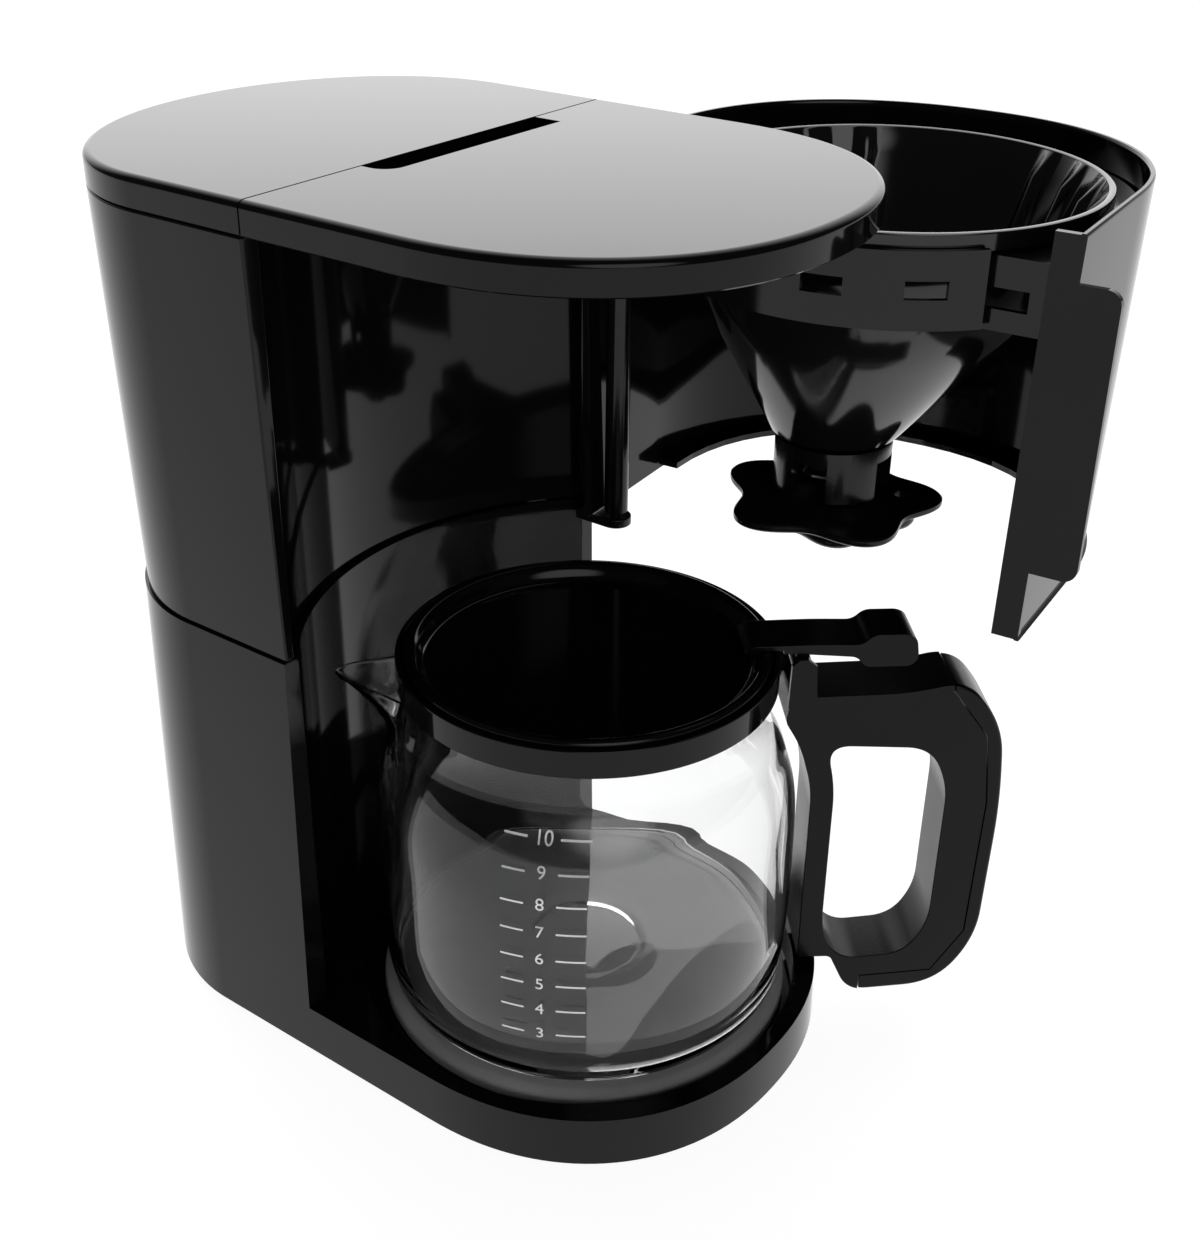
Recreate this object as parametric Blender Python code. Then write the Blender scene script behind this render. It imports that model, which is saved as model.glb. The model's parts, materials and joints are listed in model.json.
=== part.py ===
"""Drip coffee maker with a swing-out filter door, a glass jug and a rear water tank.

Metres, +Z up, front towards -Y. The door stands open at rest, the jug is on the hot plate.
Sizes below are in millimetres; MM turns them into metres when a mesh is made.
"""
import math
import bpy
import bmesh
from mathutils import Matrix, Vector

MM = 0.001

# ---- driving dimensions (mm) ----
HEIGHT = 320.0              # feet to top cover
HALF_WIDTH = 86.5           # half width of the body at the top
FRONT_BULGE = 87.4          # depth of the rounded front, from the jug axis
REAR_CENTRE = 104.5         # where the rounded back starts
REAR_BULGE = 70.7           # depth of the rounded back
COLUMN_FRONT = 57.6         # front face of the rear column
SEAM_Z = 167.5              # top of the lower housing
LID_Z = 309.6               # underside of the top cover and of the tank lid
BASE_RIM_Z = 23.4           # top of the base rim around the hot plate
WALL = 2.5                  # housing wall thickness
GAP = 0.3                   # assembly gap between neighbouring parts
TAPER_UPPER = 3.3           # inset of the upper housing at its lower edge
TAPER_LOWER = 2.2           # inset of the lower housing at its upper edge
FLARE_BASE = 1.0            # outset of the lower housing at the floor

FULLNESS = 2.0 / 2.2        # exponent of the front outline, a little fuller than an ellipse
BAY_CENTRE_Y = -20.0        # axis of the concave wall behind the jug
BAY_RADIUS = 110.0
BAY_HALF_WIDTH = 78.0

DOOR_HALF = 90.0            # half width of the door at its top edge
DOOR_BULGE = 91.0           # depth of the door
HINGE = (79.0, 42.1)        # door hinge axis
DOOR_OPEN_DEG = 95.0        # how far the door stands open at rest
DOOR_Z = (166.2, 305.5)
FUNNEL_AXIS = (-5.0, 3.0)
VALVE_AXIS = (7.0, 4.0)     # the cone leans towards the valve
FUNNEL_RIM_R = 74.0

JUG_AXIS = (0.0, -3.0)
JUG_BOTTOM_Z = 24.0
HANDLE_DEG = -50.0          # heading of the jug handle

ARC = 20                    # segments in each half circle of the body

for stale in list(bpy.data.objects):
    bpy.data.objects.remove(stale, do_unlink=True)

parts = bpy.data.collections.new("drip_coffee_maker")
cutters = bpy.data.collections.new("cutters")
for collection in (parts, cutters):
    bpy.context.scene.collection.children.link(collection)


# ---- materials ----
def material(name, colour, rough, metal=0.0, alpha=1.0):
    mat = bpy.data.materials.new(name)
    mat.use_nodes = True
    shader = mat.node_tree.nodes["Principled BSDF"]
    shader.inputs["Base Color"].default_value = (*colour, 1.0)
    shader.inputs["Roughness"].default_value = rough
    shader.inputs["Metallic"].default_value = metal
    shader.inputs["Alpha"].default_value = alpha
    mat.diffuse_color = (*colour, alpha)
    return mat


LOOKS = {
    "gloss_black": ((0.012, 0.012, 0.013), 0.12, 0.0, 1.0),
    "satin_black": ((0.03, 0.03, 0.032), 0.42, 0.0, 1.0),
    "inner_black": ((0.008, 0.008, 0.009), 0.35, 0.0, 1.0),
    "grey_plastic": ((0.2, 0.2, 0.21), 0.45, 0.0, 1.0),
    "clear_grey": ((0.55, 0.57, 0.6), 0.2, 0.0, 0.6),
    "glass": ((0.85, 0.9, 0.88), 0.02, 0.0, 0.3),
    "coated_steel": ((0.02, 0.02, 0.02), 0.5, 0.6, 1.0),
    "steel": ((0.55, 0.55, 0.56), 0.3, 1.0, 1.0),
    "aluminium": ((0.6, 0.6, 0.62), 0.4, 1.0, 1.0),
    "silicone": ((0.6, 0.6, 0.58), 0.6, 0.0, 1.0),
    "rubber": ((0.02, 0.02, 0.02), 0.8, 0.0, 1.0),
    "brass": ((0.6, 0.45, 0.2), 0.35, 1.0, 1.0),
}


# ---- mesh helpers ----
def finish(name, bm, look, home=None):
    bmesh.ops.remove_doubles(bm, verts=bm.verts, dist=1e-7)
    bmesh.ops.recalc_face_normals(bm, faces=bm.faces)
    mesh = bpy.data.meshes.new(name)
    bm.to_mesh(mesh)
    bm.free()
    obj = bpy.data.objects.new(name, mesh)
    (home or parts).objects.link(obj)
    if home is cutters:
        obj.hide_render = True
        obj.display_type = "WIRE"
    else:
        obj.data.materials.append(material(name, *LOOKS[look]))
        slots[name] = look
    return obj


slots = {}


def loft(name, rings, look="inner_black", home=None):
    """Closed body through rings of equal length, each a list of (x, y, z) in mm."""
    bm = bmesh.new()
    rows = [[bm.verts.new(Vector(p) * MM) for p in ring] for ring in rings]
    n = len(rows[0])
    for low, high in zip(rows, rows[1:]):
        for i in range(n):
            bm.faces.new((low[i], low[(i + 1) % n], high[(i + 1) % n], high[i]))
    bm.faces.new(list(reversed(rows[0])))
    bm.faces.new(rows[-1])
    return finish(name, bm, look, home)


def prism(name, outline, z0, z1, look="inner_black", home=None):
    return loft(name, [[(x, y, z) for x, y in outline] for z in (z0, z1)], look, home)


def box(name, low, high, look="inner_black", home=None):
    (x0, y0, z0), (x1, y1, z1) = low, high
    return prism(name, [(x0, y0), (x1, y0), (x1, y1), (x0, y1)], z0, z1, look, home)


def revolve(name, profile, look="inner_black", centre=(0.0, 0.0), seg=48, home=None):
    """Closed loop of (radius, z) turned about a vertical axis; radius 0 makes a pole."""
    bm = bmesh.new()
    rows = []
    for r, z in profile:
        if r < 1e-6:
            rows.append([bm.verts.new(Vector((centre[0], centre[1], z)) * MM)])
        else:
            rows.append([bm.verts.new(Vector((centre[0] + r * math.cos(t), centre[1] + r * math.sin(t), z)) * MM)
                         for t in (2 * math.pi * i / seg for i in range(seg))])
    for a, b in zip(rows, rows[1:] + rows[:1]):
        if len(a) == 1 and len(b) == 1:
            continue
        for i in range(seg):
            j = (i + 1) % seg
            if len(a) == 1:
                bm.faces.new((a[0], b[j], b[i]))
            elif len(b) == 1:
                bm.faces.new((a[i], a[j], b[0]))
            else:
                bm.faces.new((a[i], a[j], b[j], b[i]))
    return finish(name, bm, look, home)


def cylinder(name, x, y, r, z0, z1, look="inner_black", seg=20, home=None):
    return revolve(name, [(0, z0), (r, z0), (r, z1), (0, z1)], look, (x, y), seg, home)


def rod(name, path, radius, look, seg=10, home=None):
    """Round bar along a list of points, with a frame carried along the path."""
    pts = [Vector(p) for p in path]
    bm = bmesh.new()
    rows = []
    up = Vector((0.13, 0.27, 0.95)).normalized()
    for i, p in enumerate(pts):
        way = (pts[min(i + 1, len(pts) - 1)] - pts[max(i - 1, 0)]).normalized()
        side = way.cross(up)
        if side.length < 0.2:
            side = way.cross(Vector((1, 0, 0)))
        side.normalize()
        up = side.cross(way).normalized()
        rows.append([bm.verts.new((p + radius * (side * math.cos(t) + up * math.sin(t))) * MM)
                     for t in (2 * math.pi * k / seg for k in range(seg))])
    for a, b in zip(rows, rows[1:]):
        for i in range(seg):
            j = (i + 1) % seg
            bm.faces.new((a[i], a[j], b[j], b[i]))
    bm.faces.new(list(reversed(rows[0])))
    bm.faces.new(rows[-1])
    return finish(name, bm, look, home)


def combine(obj, tool, how="DIFFERENCE"):
    mod = obj.modifiers.new(how.lower() + "_" + tool.name, "BOOLEAN")
    mod.operation = how
    mod.solver = "EXACT"
    mod.object = tool
    return obj


# ---- outlines ----
def inset_at(z):
    """Inset of the body outline at height z: two tapered housings that meet at the seam."""
    if z > SEAM_Z:
        return TAPER_UPPER * (LID_Z - min(z, LID_Z)) / (LID_Z - SEAM_Z)
    return TAPER_LOWER * z / SEAM_Z - FLARE_BASE * (SEAM_Z - z) / SEAM_Z


def front_arc(inset, n=ARC, y_end=None, half=None, bulge=None):
    """Left straight side, rounded front and right straight side, as (x, y)."""
    r, e = (half or HALF_WIDTH) - inset, (bulge or FRONT_BULGE) - inset
    arc = []
    for t in (math.pi * i / n for i in range(n + 1)):
        c, q = math.cos(t), math.sin(t)
        arc.append((-r * math.copysign(abs(c) ** FULLNESS, c), -e * abs(q) ** FULLNESS))
    arc[0], arc[-1] = (-r, 0.0), (r, 0.0)
    if y_end is None:
        return arc
    return [(-r, y_end[0])] + arc + [(r, y_end[1])]


def rear_arc(inset, n=ARC):
    r, e = HALF_WIDTH - inset, REAR_BULGE - inset
    return [(r * math.cos(t), REAR_CENTRE + e * math.sin(t)) for t in (math.pi * i / n for i in range(n + 1))]


def full_outline(inset):
    return front_arc(inset) + rear_arc(inset)


def rear_outline(inset, y_front, n=ARC):
    r = HALF_WIDTH - inset
    return [(-r, y_front), (r, y_front)] + rear_arc(inset, n)


def bay_arc(offset=0.0, n=14):
    """Concave wall behind the jug, right to left, moved back by offset."""
    r = BAY_RADIUS + offset
    half = math.asin(BAY_HALF_WIDTH / BAY_RADIUS)
    return [(r * math.sin(t), BAY_CENTRE_Y + r * math.cos(t)) for t in (half - 2 * half * i / n for i in range(n + 1))]


# ---- lower housing ----
def outer_rings(zs, extra=0.0):
    return [[(x, y, z) for x, y in full_outline(inset_at(z) + extra)] for z in zs]


lower = loft("lower_housing", outer_rings([3.0, BASE_RIM_Z, SEAM_Z]), "gloss_black")
WIDE = 140.0
bay = bay_arc()
combine(lower, prism("cut_bay", [(-WIDE, -WIDE), (WIDE, -WIDE), (WIDE, COLUMN_FRONT), (bay[0][0], COLUMN_FRONT)] + bay
                     + [(bay[-1][0], COLUMN_FRONT), (-WIDE, COLUMN_FRONT)], BASE_RIM_Z, SEAM_Z + 9, home=cutters))
combine(lower, cylinder("cut_well", 0, 0, 80.5, 17.0, BASE_RIM_Z + 9, seg=40, home=cutters))
combine(lower, loft("cut_base_hollow", [[(x, y, z) for x, y in full_outline(WALL + inset_at(8))] for z in (-4.0, 14.0)], home=cutters))
back = bay_arc(WALL)
combine(lower, prism("cut_column_hollow", [(HALF_WIDTH - WALL - TAPER_LOWER - 0.5, COLUMN_FRONT + WALL + 4)]
                     + rear_arc(WALL + TAPER_LOWER + 0.5)
                     + [(-HALF_WIDTH + WALL + TAPER_LOWER + 0.5, COLUMN_FRONT + WALL + 4)]
                     + [(x, y) for x, y in reversed(back) if y > COLUMN_FRONT + WALL + 4.5], 10.0, SEAM_Z + 9, home=cutters))
combine(lower, box("cut_switch", (70, 95.2, 60.2), (100, 122.8, 79.8), home=cutters))
GLAND_Y = REAR_CENTRE + REAR_BULGE
combine(lower, rod("cut_gland", [(-40, GLAND_Y - 30, 14.0 + 12), (-40, GLAND_Y + 20, 14.0 + 12)], 5.6, "rubber", 16, cutters))

# ---- upper housing: three-sided column shell with a deck and two front strips ----
UP0, UP1 = SEAM_Z + GAP, LID_Z - GAP
upper = loft("upper_housing", [[(x, y, z) for x, y in rear_outline(inset_at(z), COLUMN_FRONT)] for z in (UP0 + 0.01, UP1)], "gloss_black")
upper_bay = bay_arc(2.4)
combine(upper, prism("cut_upper_bay", [(-79.0, 40), (79.0, 40)] + [(x, y) for x, y in upper_bay if y > COLUMN_FRONT - 1] , UP0 - 3, UP1 + 9, home=cutters))


def upper_inner(inset):
    """Inside of the column: rounded back and a concave front one wall behind the bay."""
    wall = [(x, y) for x, y in reversed(bay_arc(2.4 + WALL)) if y > COLUMN_FRONT + 7.0]
    return [(HALF_WIDTH - inset, COLUMN_FRONT + 6.5)] + rear_arc(inset) + [(-HALF_WIDTH + inset, COLUMN_FRONT + 6.5)] + wall


combine(upper, loft("cut_upper_hollow", [[(x, y, z) for x, y in upper_inner(inset)]
                                         for inset, z in ((inset_at(UP0 + WALL) + WALL, UP0 + WALL), (WALL, UP1), (WALL, UP1 + 9))], home=cutters))
combine(upper, box("cut_lid_hinge", (-37, 160, 302.5), (37, 190, 330), home=cutters))
RISER = (73.0, 76.5)
combine(upper, cylinder("cut_riser_pass", RISER[0], RISER[1], 5.0, 160, 178, home=cutters))
combine(upper, cylinder("cut_feed_pass", 0, 120, 5.6, 160, 178, home=cutters))

# ---- water tank ----
TANK_Z = (173.0, 299.0)


def tank_outline(inset):
    """Rounded back, concave front behind the bay wall and a step around the riser hose."""
    more = inset - WALL - TAPER_UPPER - 0.8
    r = BAY_RADIUS + 6.1 + more
    front = [(x, BAY_CENTRE_Y + math.sqrt(r * r - x * x)) for x in (-70 + more + (128 - 2 * more) * i / 12 for i in range(13))]
    return [(-HALF_WIDTH + inset, front[0][1])] + front + [(66 - 0.45 * more, 90 + more), (HALF_WIDTH - inset, 90 + more)] + rear_arc(inset, 20)


tank = prism("water_tank", tank_outline(WALL + TAPER_UPPER + 0.8), TANK_Z[0], TANK_Z[1], "satin_black")
combine(tank, prism("cut_tank", tank_outline(WALL + TAPER_UPPER + 2.8), TANK_Z[0] + 2.2, TANK_Z[1] + 9, home=cutters))
combine(tank, cylinder("cut_tank_outlet", 0, 120, 3.2, TANK_Z[0] - 5, TANK_Z[0] + 9, home=cutters))
cylinder("tank_filter_screen", 0, 120, 9.0, TANK_Z[0] + 2.5, TANK_Z[0] + 4.5, "grey_plastic")

# ---- top cover and its frame ----
COVER_Z1 = HEIGHT
EDGE = 1.6
def cover_rings(outline_fn):
    return [[(x, y, z) for x, y in outline_fn(inset)]
            for inset, z in ((0.6, LID_Z), (0.0, LID_Z + 0.8), (0.0, COVER_Z1 - EDGE), (EDGE * 0.3, COVER_Z1 - EDGE * 0.35), (EDGE, COVER_Z1))]


cover = loft("top_cover", cover_rings(lambda i: front_arc(i, ARC, (COLUMN_FRONT - 0.3, COLUMN_FRONT - 0.3))), "gloss_black")
combine(cover, prism("cut_cover_hollow", front_arc(2.2, ARC, (70, 70)), LID_Z - 9, COVER_Z1 - 3.2, home=cutters))


def slot_outline(x0, x1, y0, y1, r=7.0, n=6):
    left = [(x0 + r - r * math.sin(t), y0 + r - r * math.cos(t)) for t in (math.pi / 2 * i / n for i in range(n + 1))]
    return [(x0, y1)] + list(reversed(left)) + [(x1, y0), (x1, y1)]


combine(cover, prism("cut_finger_slot", slot_outline(-36, 49, 46.5, 62), LID_Z + 1, COVER_Z1 + 5, home=cutters))
frame = prism("cover_frame", front_arc(3.0, 20, (94, 94)), LID_Z + 0.02, 313.8, "inner_black")
combine(frame, box("cut_frame_side_l", (-120, 52, 300), (-74, 100, 330), home=cutters))
combine(frame, box("cut_frame_side_r", (74, 52, 300), (120, 100, 330), home=cutters))
combine(frame, box("cut_finger_pocket", (-36, 47, 311.6), (49, 74, 330), home=cutters))

# ---- tank lid, hinged at the back ----
LID_HINGE_Y, LID_HINGE_H = 169.5, 309.0
lid = loft("tank_lid", cover_rings(lambda i: rear_outline(i, COLUMN_FRONT + 0.3)), "gloss_black")
combine(lid, loft("cut_lid_hollow", [[(x, y, z) for x, y in rear_outline(2.2, COLUMN_FRONT - 20)] for z in (LID_Z - 9, COVER_Z1 - 3.2)], home=cutters))
for side, tag in ((-1, "l"), (1, "r")):
    x0, x1 = sorted((side * 12.0, side * 31.0))
    combine(lid, rod("add_knuckle_" + tag, [(x0, LID_HINGE_Y, LID_HINGE_H), (x1, LID_HINGE_Y, LID_HINGE_H)], 2.6, "inner_black", 16, cutters), "UNION")
    combine(lid, box("add_web_" + tag, (x0 + 0.5, LID_HINGE_Y - 1.6, LID_HINGE_H), (x1 - 0.5, LID_HINGE_Y + 1.6, COVER_Z1 - 2.5), home=cutters), "UNION")
    combine(lid, rod("cut_pin_bore_" + tag, [(side * 8.0, LID_HINGE_Y, LID_HINGE_H), (side * 26.0, LID_HINGE_Y, LID_HINGE_H)], 1.5, "inner_black", 16, cutters))
pin_block = box("lid_hinge_block", (-10.5, 166.4, 299.8), (10.5, 171.2, 302.4), "inner_black")
combine(pin_block, box("add_lid_post", (-10.5, 166.4, 299.8), (10.5, 169.4, 309.4), home=cutters), "UNION")
combine(pin_block, rod("add_lid_pin", [(-25, LID_HINGE_Y, LID_HINGE_H), (25, LID_HINGE_Y, LID_HINGE_H)], 1.2, "inner_black", 16, cutters), "UNION")

# ---- base parts ----
plate = prism("bottom_plate", full_outline(WALL + 0.4 - FLARE_BASE), 3.0, 5.2, "satin_black")
FEET = [(-52, -50), (52, -50), (-50, 132), (50, 132)]
SCREWS = [(-70, 0), (70, 0), (-66, 112), (66, 112)]
for n, (x, y) in enumerate(SCREWS, 1):
    combine(plate, cylinder("cut_screw_%d" % n, x, y, 1.9, 0, 9, seg=12, home=cutters))
    revolve("case_screw_%d" % n, [(0, 1.4), (3.2, 1.4), (3.4, 2.7), (1.5, 2.7), (1.5, 9.0), (0, 9.0)], "steel", (x, y), 16)
for n, (x, y) in enumerate(FEET, 1):
    revolve("foot_%d" % n, [(0, 0), (8.2, 0), (9, 0.8), (9, 2.7), (0, 2.7)], "rubber", (x, y), 24)

hot = revolve("hot_plate", [(0, 21.2), (66, 21.2), (68, 20.2), (74, 20.2), (74, 17.6), (76, 17.6), (76, 21.6), (73, 23.2), (62, 23.7), (0, 23.7)], "coated_steel", JUG_AXIS, 36)
horseshoe = [(-24, 70, 9.4)] + [(44 * math.sin(t), JUG_AXIS[1] - 44 * math.cos(t), 9.4) for t in (-2.55 + 5.1 * i / 16 for i in range(17))] + [(24, 70, 9.4)]
rod("heater_element", horseshoe, 3.6, "aluminium", 8)
cylinder("thermostat", 0, -3, 9.5, 7.0, 13.6, "aluminium", 20)
rod("thermal_fuse", [(-14, 20, 8.4), (14, 20, 8.4)], 2.2, "steel", 10)
rod("check_valve", [(-24, 78, 9.4), (-24, 96, 9.4)], 4.1, "grey_plastic", 12)
rod("feed_hose", [(-24, 96.6, 9.4), (-24, 101, 9.4), (-24, 107, 11.5), (-20, 113, 17), (-8, 119, 28), (0, 120, 44), (0, 120, 172.4)], 4.0, "silicone", 10)
rod("riser_hose", [(24, 70.6, 9.4), (24, 90, 9.4), (26, 98, 12), (33, 101, 19), (48, 98, 30), (62, 91, 46), (70, 82, 68), (*RISER, 96), (*RISER, 309.0)], 4.0, "silicone", 10)
revolve("shower_head", [(0, 306.3), (17, 306.3), (19, 307.6), (19, 309.3), (0, 309.3)], "grey_plastic", FUNNEL_AXIS, 28)

# ---- switch and mains inlet ----
SW = (109.0, 70.0)
XS = HALF_WIDTH - inset_at(70)
bezel = box("switch_bezel", (XS - 12, 95.5, 60.5), (XS + 1.2, 122.5, 79.5), "satin_black")
combine(bezel, box("cut_bezel", (XS - 8, 98.5, 63.5), (XS + 9, 119.5, 76.5), home=cutters))
rocker = loft("rocker_switch", [[(XS - 5.0, 99.3, z), (XS + 2.4, 99.3, z), (XS - 0.4, 109, z), (XS + 0.6, 118.7, z), (XS - 5.0, 118.7, z)] for z in (64.2, 75.8)], "gloss_black")
gland = rod("cord_gland", [(-40, GLAND_Y - 24, 26), (-40, GLAND_Y - 3, 26)], 5.2, "rubber", 16)
box("terminal_block", (20, 128, 8), (46, 140, 13.6), "grey_plastic")

# ---- door, built closed and then swung open ----
door_parts = []


def door_ring(z):
    base = inset_at(z)
    ends = (COLUMN_FRONT - 0.6, COLUMN_FRONT - 5.2)
    out = front_arc(base, ARC, ends, DOOR_HALF, DOOR_BULGE)
    inn = front_arc(base + WALL, ARC, ends, DOOR_HALF, DOOR_BULGE)
    return [(x, y, z) for x, y in out + list(reversed(inn))]


shell = loft("door_shell", [door_ring(z) for z in DOOR_Z], "gloss_black")
X0 = -DOOR_HALF
strip_y = (COLUMN_FRONT - 3.2, COLUMN_FRONT - 0.6)
STRIP = 10.0
combine(shell, loft("add_strip", [[(X0 + inset_at(z) + 0.8, strip_y[0], z), (X0 + inset_at(z) + STRIP, strip_y[0], z),
                                   (X0 + inset_at(z) + STRIP, strip_y[1], z), (X0 + inset_at(z) + 0.8, strip_y[1], z)] for z in DOOR_Z], home=cutters), "UNION")
FIN_Z = (192.0, 290.0)
R_FIN = 5.0


def fin_outline():
    x_in, x_out = X0 + 4.2, X0 - 13.0
    pts = [(x_in, FIN_Z[0])]
    pts += [(x_out + R_FIN - R_FIN * math.sin(t), FIN_Z[0] + R_FIN - R_FIN * math.cos(t)) for t in (math.pi / 2 * i / 5 for i in range(6))]
    pts += [(x_out + R_FIN - R_FIN * math.cos(t), FIN_Z[1] - R_FIN + R_FIN * math.sin(t)) for t in (math.pi / 2 * i / 5 for i in range(6))]
    return pts + [(x_in, FIN_Z[1])]


combine(shell, loft("add_fin", [[(x, y, z) for x, z in fin_outline()] for y in (strip_y[1] - 2.4, strip_y[1])], home=cutters), "UNION")
door_parts.append(shell)

post = revolve("door_hinge_post", [(0, DOOR_Z[0] + 0.6), (4.6, DOOR_Z[0] + 0.6), (4.6, DOOR_Z[1] - 0.6), (0, DOOR_Z[1] - 0.6)], "inner_black", HINGE, 20)
combine(post, cylinder("cut_pin_low", HINGE[0], HINGE[1], 2.4, DOOR_Z[0] - 5, DOOR_Z[0] + 10, seg=20, home=cutters))
combine(post, cylinder("cut_pin_high", HINGE[0], HINGE[1], 2.4, DOOR_Z[1] - 10, DOOR_Z[1] + 5, seg=20, home=cutters))
door_parts.append(post)

# collar: a shelf with a round hole for the funnel, and a skirt along the closing side
COLLAR_Z = 294.0
SKIRT = 24.0
collar = prism("door_collar", front_arc(inset_at(COLLAR_Z - SKIRT) + WALL + 0.5, 24, (COLUMN_FRONT - 3.8, COLUMN_FRONT - 3.8), DOOR_HALF, DOOR_BULGE), COLLAR_Z - SKIRT, COLLAR_Z, "satin_black")
combine(collar, cylinder("cut_collar_hole", FUNNEL_AXIS[0], FUNNEL_AXIS[1], FUNNEL_RIM_R - 3.0, COLLAR_Z - 60, COLLAR_Z + 9, seg=40, home=cutters))
combine(collar, prism("cut_collar_under", front_arc(inset_at(COLLAR_Z - SKIRT) + WALL - 9, 24, (COLUMN_FRONT - 6.2, COLUMN_FRONT - 6.2), DOOR_HALF, DOOR_BULGE), COLLAR_Z - SKIRT - 9, COLLAR_Z - 2.6, home=cutters))
combine(collar, cylinder("cut_collar_post", HINGE[0], HINGE[1], 8.0, COLLAR_Z - 60, COLLAR_Z + 9, seg=20, home=cutters))
for n, x in enumerate((-66.0, -22.0), 1):
    combine(collar, box("cut_collar_slot_%d" % n, (x - 8, 40, COLLAR_Z - 17), (x + 8, 60, COLLAR_Z - 10), home=cutters))


def ring_sector(r0, r1, deg0, deg1, z0, z1, n=24, home=cutters, name="sector"):
    """Part of a ring about the funnel axis."""
    angles = [math.radians(deg0 + (deg1 - deg0) * i / n) for i in range(n + 1)]
    plan = [(FUNNEL_AXIS[0] + r0 * math.cos(t), FUNNEL_AXIS[1] + r0 * math.sin(t)) for t in angles]
    plan += [(FUNNEL_AXIS[0] + r1 * math.cos(t), FUNNEL_AXIS[1] + r1 * math.sin(t)) for t in reversed(angles)]
    return prism(name, plan, z0, z1, home=home)


combine(collar, ring_sector(76.2, 78.4, 46, 136, 271.0, 296.5, name="add_collar_skirt"), "UNION")
combine(collar, ring_sector(71.0, 78.0, 46, 136, 291.4, 293.8, name="add_collar_ledge"), "UNION")
for n, deg in enumerate((122.0, 98.0, 74.0), 1):
    combine(collar, ring_sector(75.0, 80.0, deg - 5, deg + 5, 281.0, 287.0, 6, name="cut_skirt_slot_%d" % n))
door_parts.append(collar)

ledge = prism("door_lower_rib", front_arc(inset_at(172) + WALL + 0.5, 24, None, DOOR_HALF, DOOR_BULGE) + list(reversed(front_arc(inset_at(172) + WALL + 9.0, 24, None, DOOR_HALF, DOOR_BULGE))), 170.0, 172.4, "inner_black")
door_parts.append(ledge)

# funnel: ribbed cone with a rolled rim, hung in the collar
funnel_parts = []
FZ_RIM, FZ_FLOOR = 301.0, 205.0
FSEG = 72


def funnel_mesh():
    fx, fy = FUNNEL_AXIS
    outer = [(13.0, FZ_FLOOR - 2.0), (24.0, FZ_FLOOR), (52.0, 246.0), (66.0, 270.0), (70.4, 291.0), (70.4, 294.6), (75.2, 294.6), (75.2, FZ_RIM)]
    inner = [(72.6, FZ_RIM), (68.6, 292.0), (64.0, 270.0), (50.0, 247.0), (22.5, FZ_FLOOR + 2.4), (4.0, FZ_FLOOR + 1.0), (4.0, FZ_FLOOR - 2.0)]
    bm = bmesh.new()
    rows = []
    for k, (r, z) in enumerate(outer + inner):
        ribbed = k in (len(outer) + 1, len(outer) + 2, len(outer) + 3)
        row = []
        for i in range(FSEG):
            t = 2 * math.pi * i / FSEG
            smooth_gap = 250 < math.degrees(t) < 292
            rr = r - (3.4 if ribbed and i % 3 == 0 and not smooth_gap else 0.0)
            lean = max(0.0, min(1.0, (291.0 - z) / 86.0))
            row.append(bm.verts.new(Vector((fx + lean * (VALVE_AXIS[0] - fx) + rr * math.cos(t), fy + lean * (VALVE_AXIS[1] - fy) + rr * math.sin(t), z)) * MM))
        rows.append(row)
    for a, b in zip(rows, rows[1:] + rows[:1]):
        for i in range(FSEG):
            j = (i + 1) % FSEG
            bm.faces.new((a[i], a[j], b[j], b[i]))
    return finish("filter_funnel", bm, "satin_black")


funnel = funnel_mesh()
funnel_parts.append(funnel)
yoke = revolve("valve_yoke", [(15.0, 182.6), (22.0, 182.6), (22.0, FZ_FLOOR - 2.6), (15.0, FZ_FLOOR - 2.6)], "satin_black", VALVE_AXIS, 24)
combine(yoke, box("cut_yoke_window_x", (VALVE_AXIS[0] - 40, VALVE_AXIS[1] - 7, 177), (VALVE_AXIS[0] + 40, VALVE_AXIS[1] + 7, 197), home=cutters))
combine(yoke, box("cut_yoke_window_y", (VALVE_AXIS[0] - 7, VALVE_AXIS[1] - 40, 177), (VALVE_AXIS[0] + 7, VALVE_AXIS[1] + 40, 197), home=cutters))
funnel_parts.append(yoke)


def lobed(radius, depth, lobes, phase, n=40):
    fx, fy = VALVE_AXIS
    return [(fx + (radius + depth * math.cos(lobes * t + phase)) * math.cos(t), fy + (radius + depth * math.cos(lobes * t + phase)) * math.sin(t))
            for t in (2 * math.pi * i / n for i in range(n))]


# drip stop: a sprung lobed plate that the jug lid pushes up, with its seal and two ribs below
stop_parts = []
stop = prism("drip_stop_plate", lobed(38, 5, 5, 0.6), 174.6, 177.6, "satin_black")
combine(stop, cylinder("add_stop_stem", VALVE_AXIS[0], VALVE_AXIS[1], 5.0, 176.0, 196.0, seg=20, home=cutters), "UNION")
stop_parts.append(stop)
stop_parts.append(prism("drip_stop_cover", lobed(29, 4, 5, 2.0), 169.2, 174.3, "satin_black"))
for n, (dx, dy) in enumerate(((-9, -6), (10, 6)), 1):
    stop_parts.append(revolve("drip_nozzle_%d" % n, [(0, 163.2), (1.2, 163.2), (4.4, 168.9), (0, 168.9)], "clear_grey", (VALVE_AXIS[0] + dx, VALVE_AXIS[1] + dy), 16))
stop_parts.append(revolve("valve_seal", [(0, 196.3), (2.4, 196.3), (2.4, 206.8), (8.0, 206.8), (8.0, 208.8), (0, 209.8)], "silicone", VALVE_AXIS, 24))
SPRING_TURNS = 4
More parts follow.
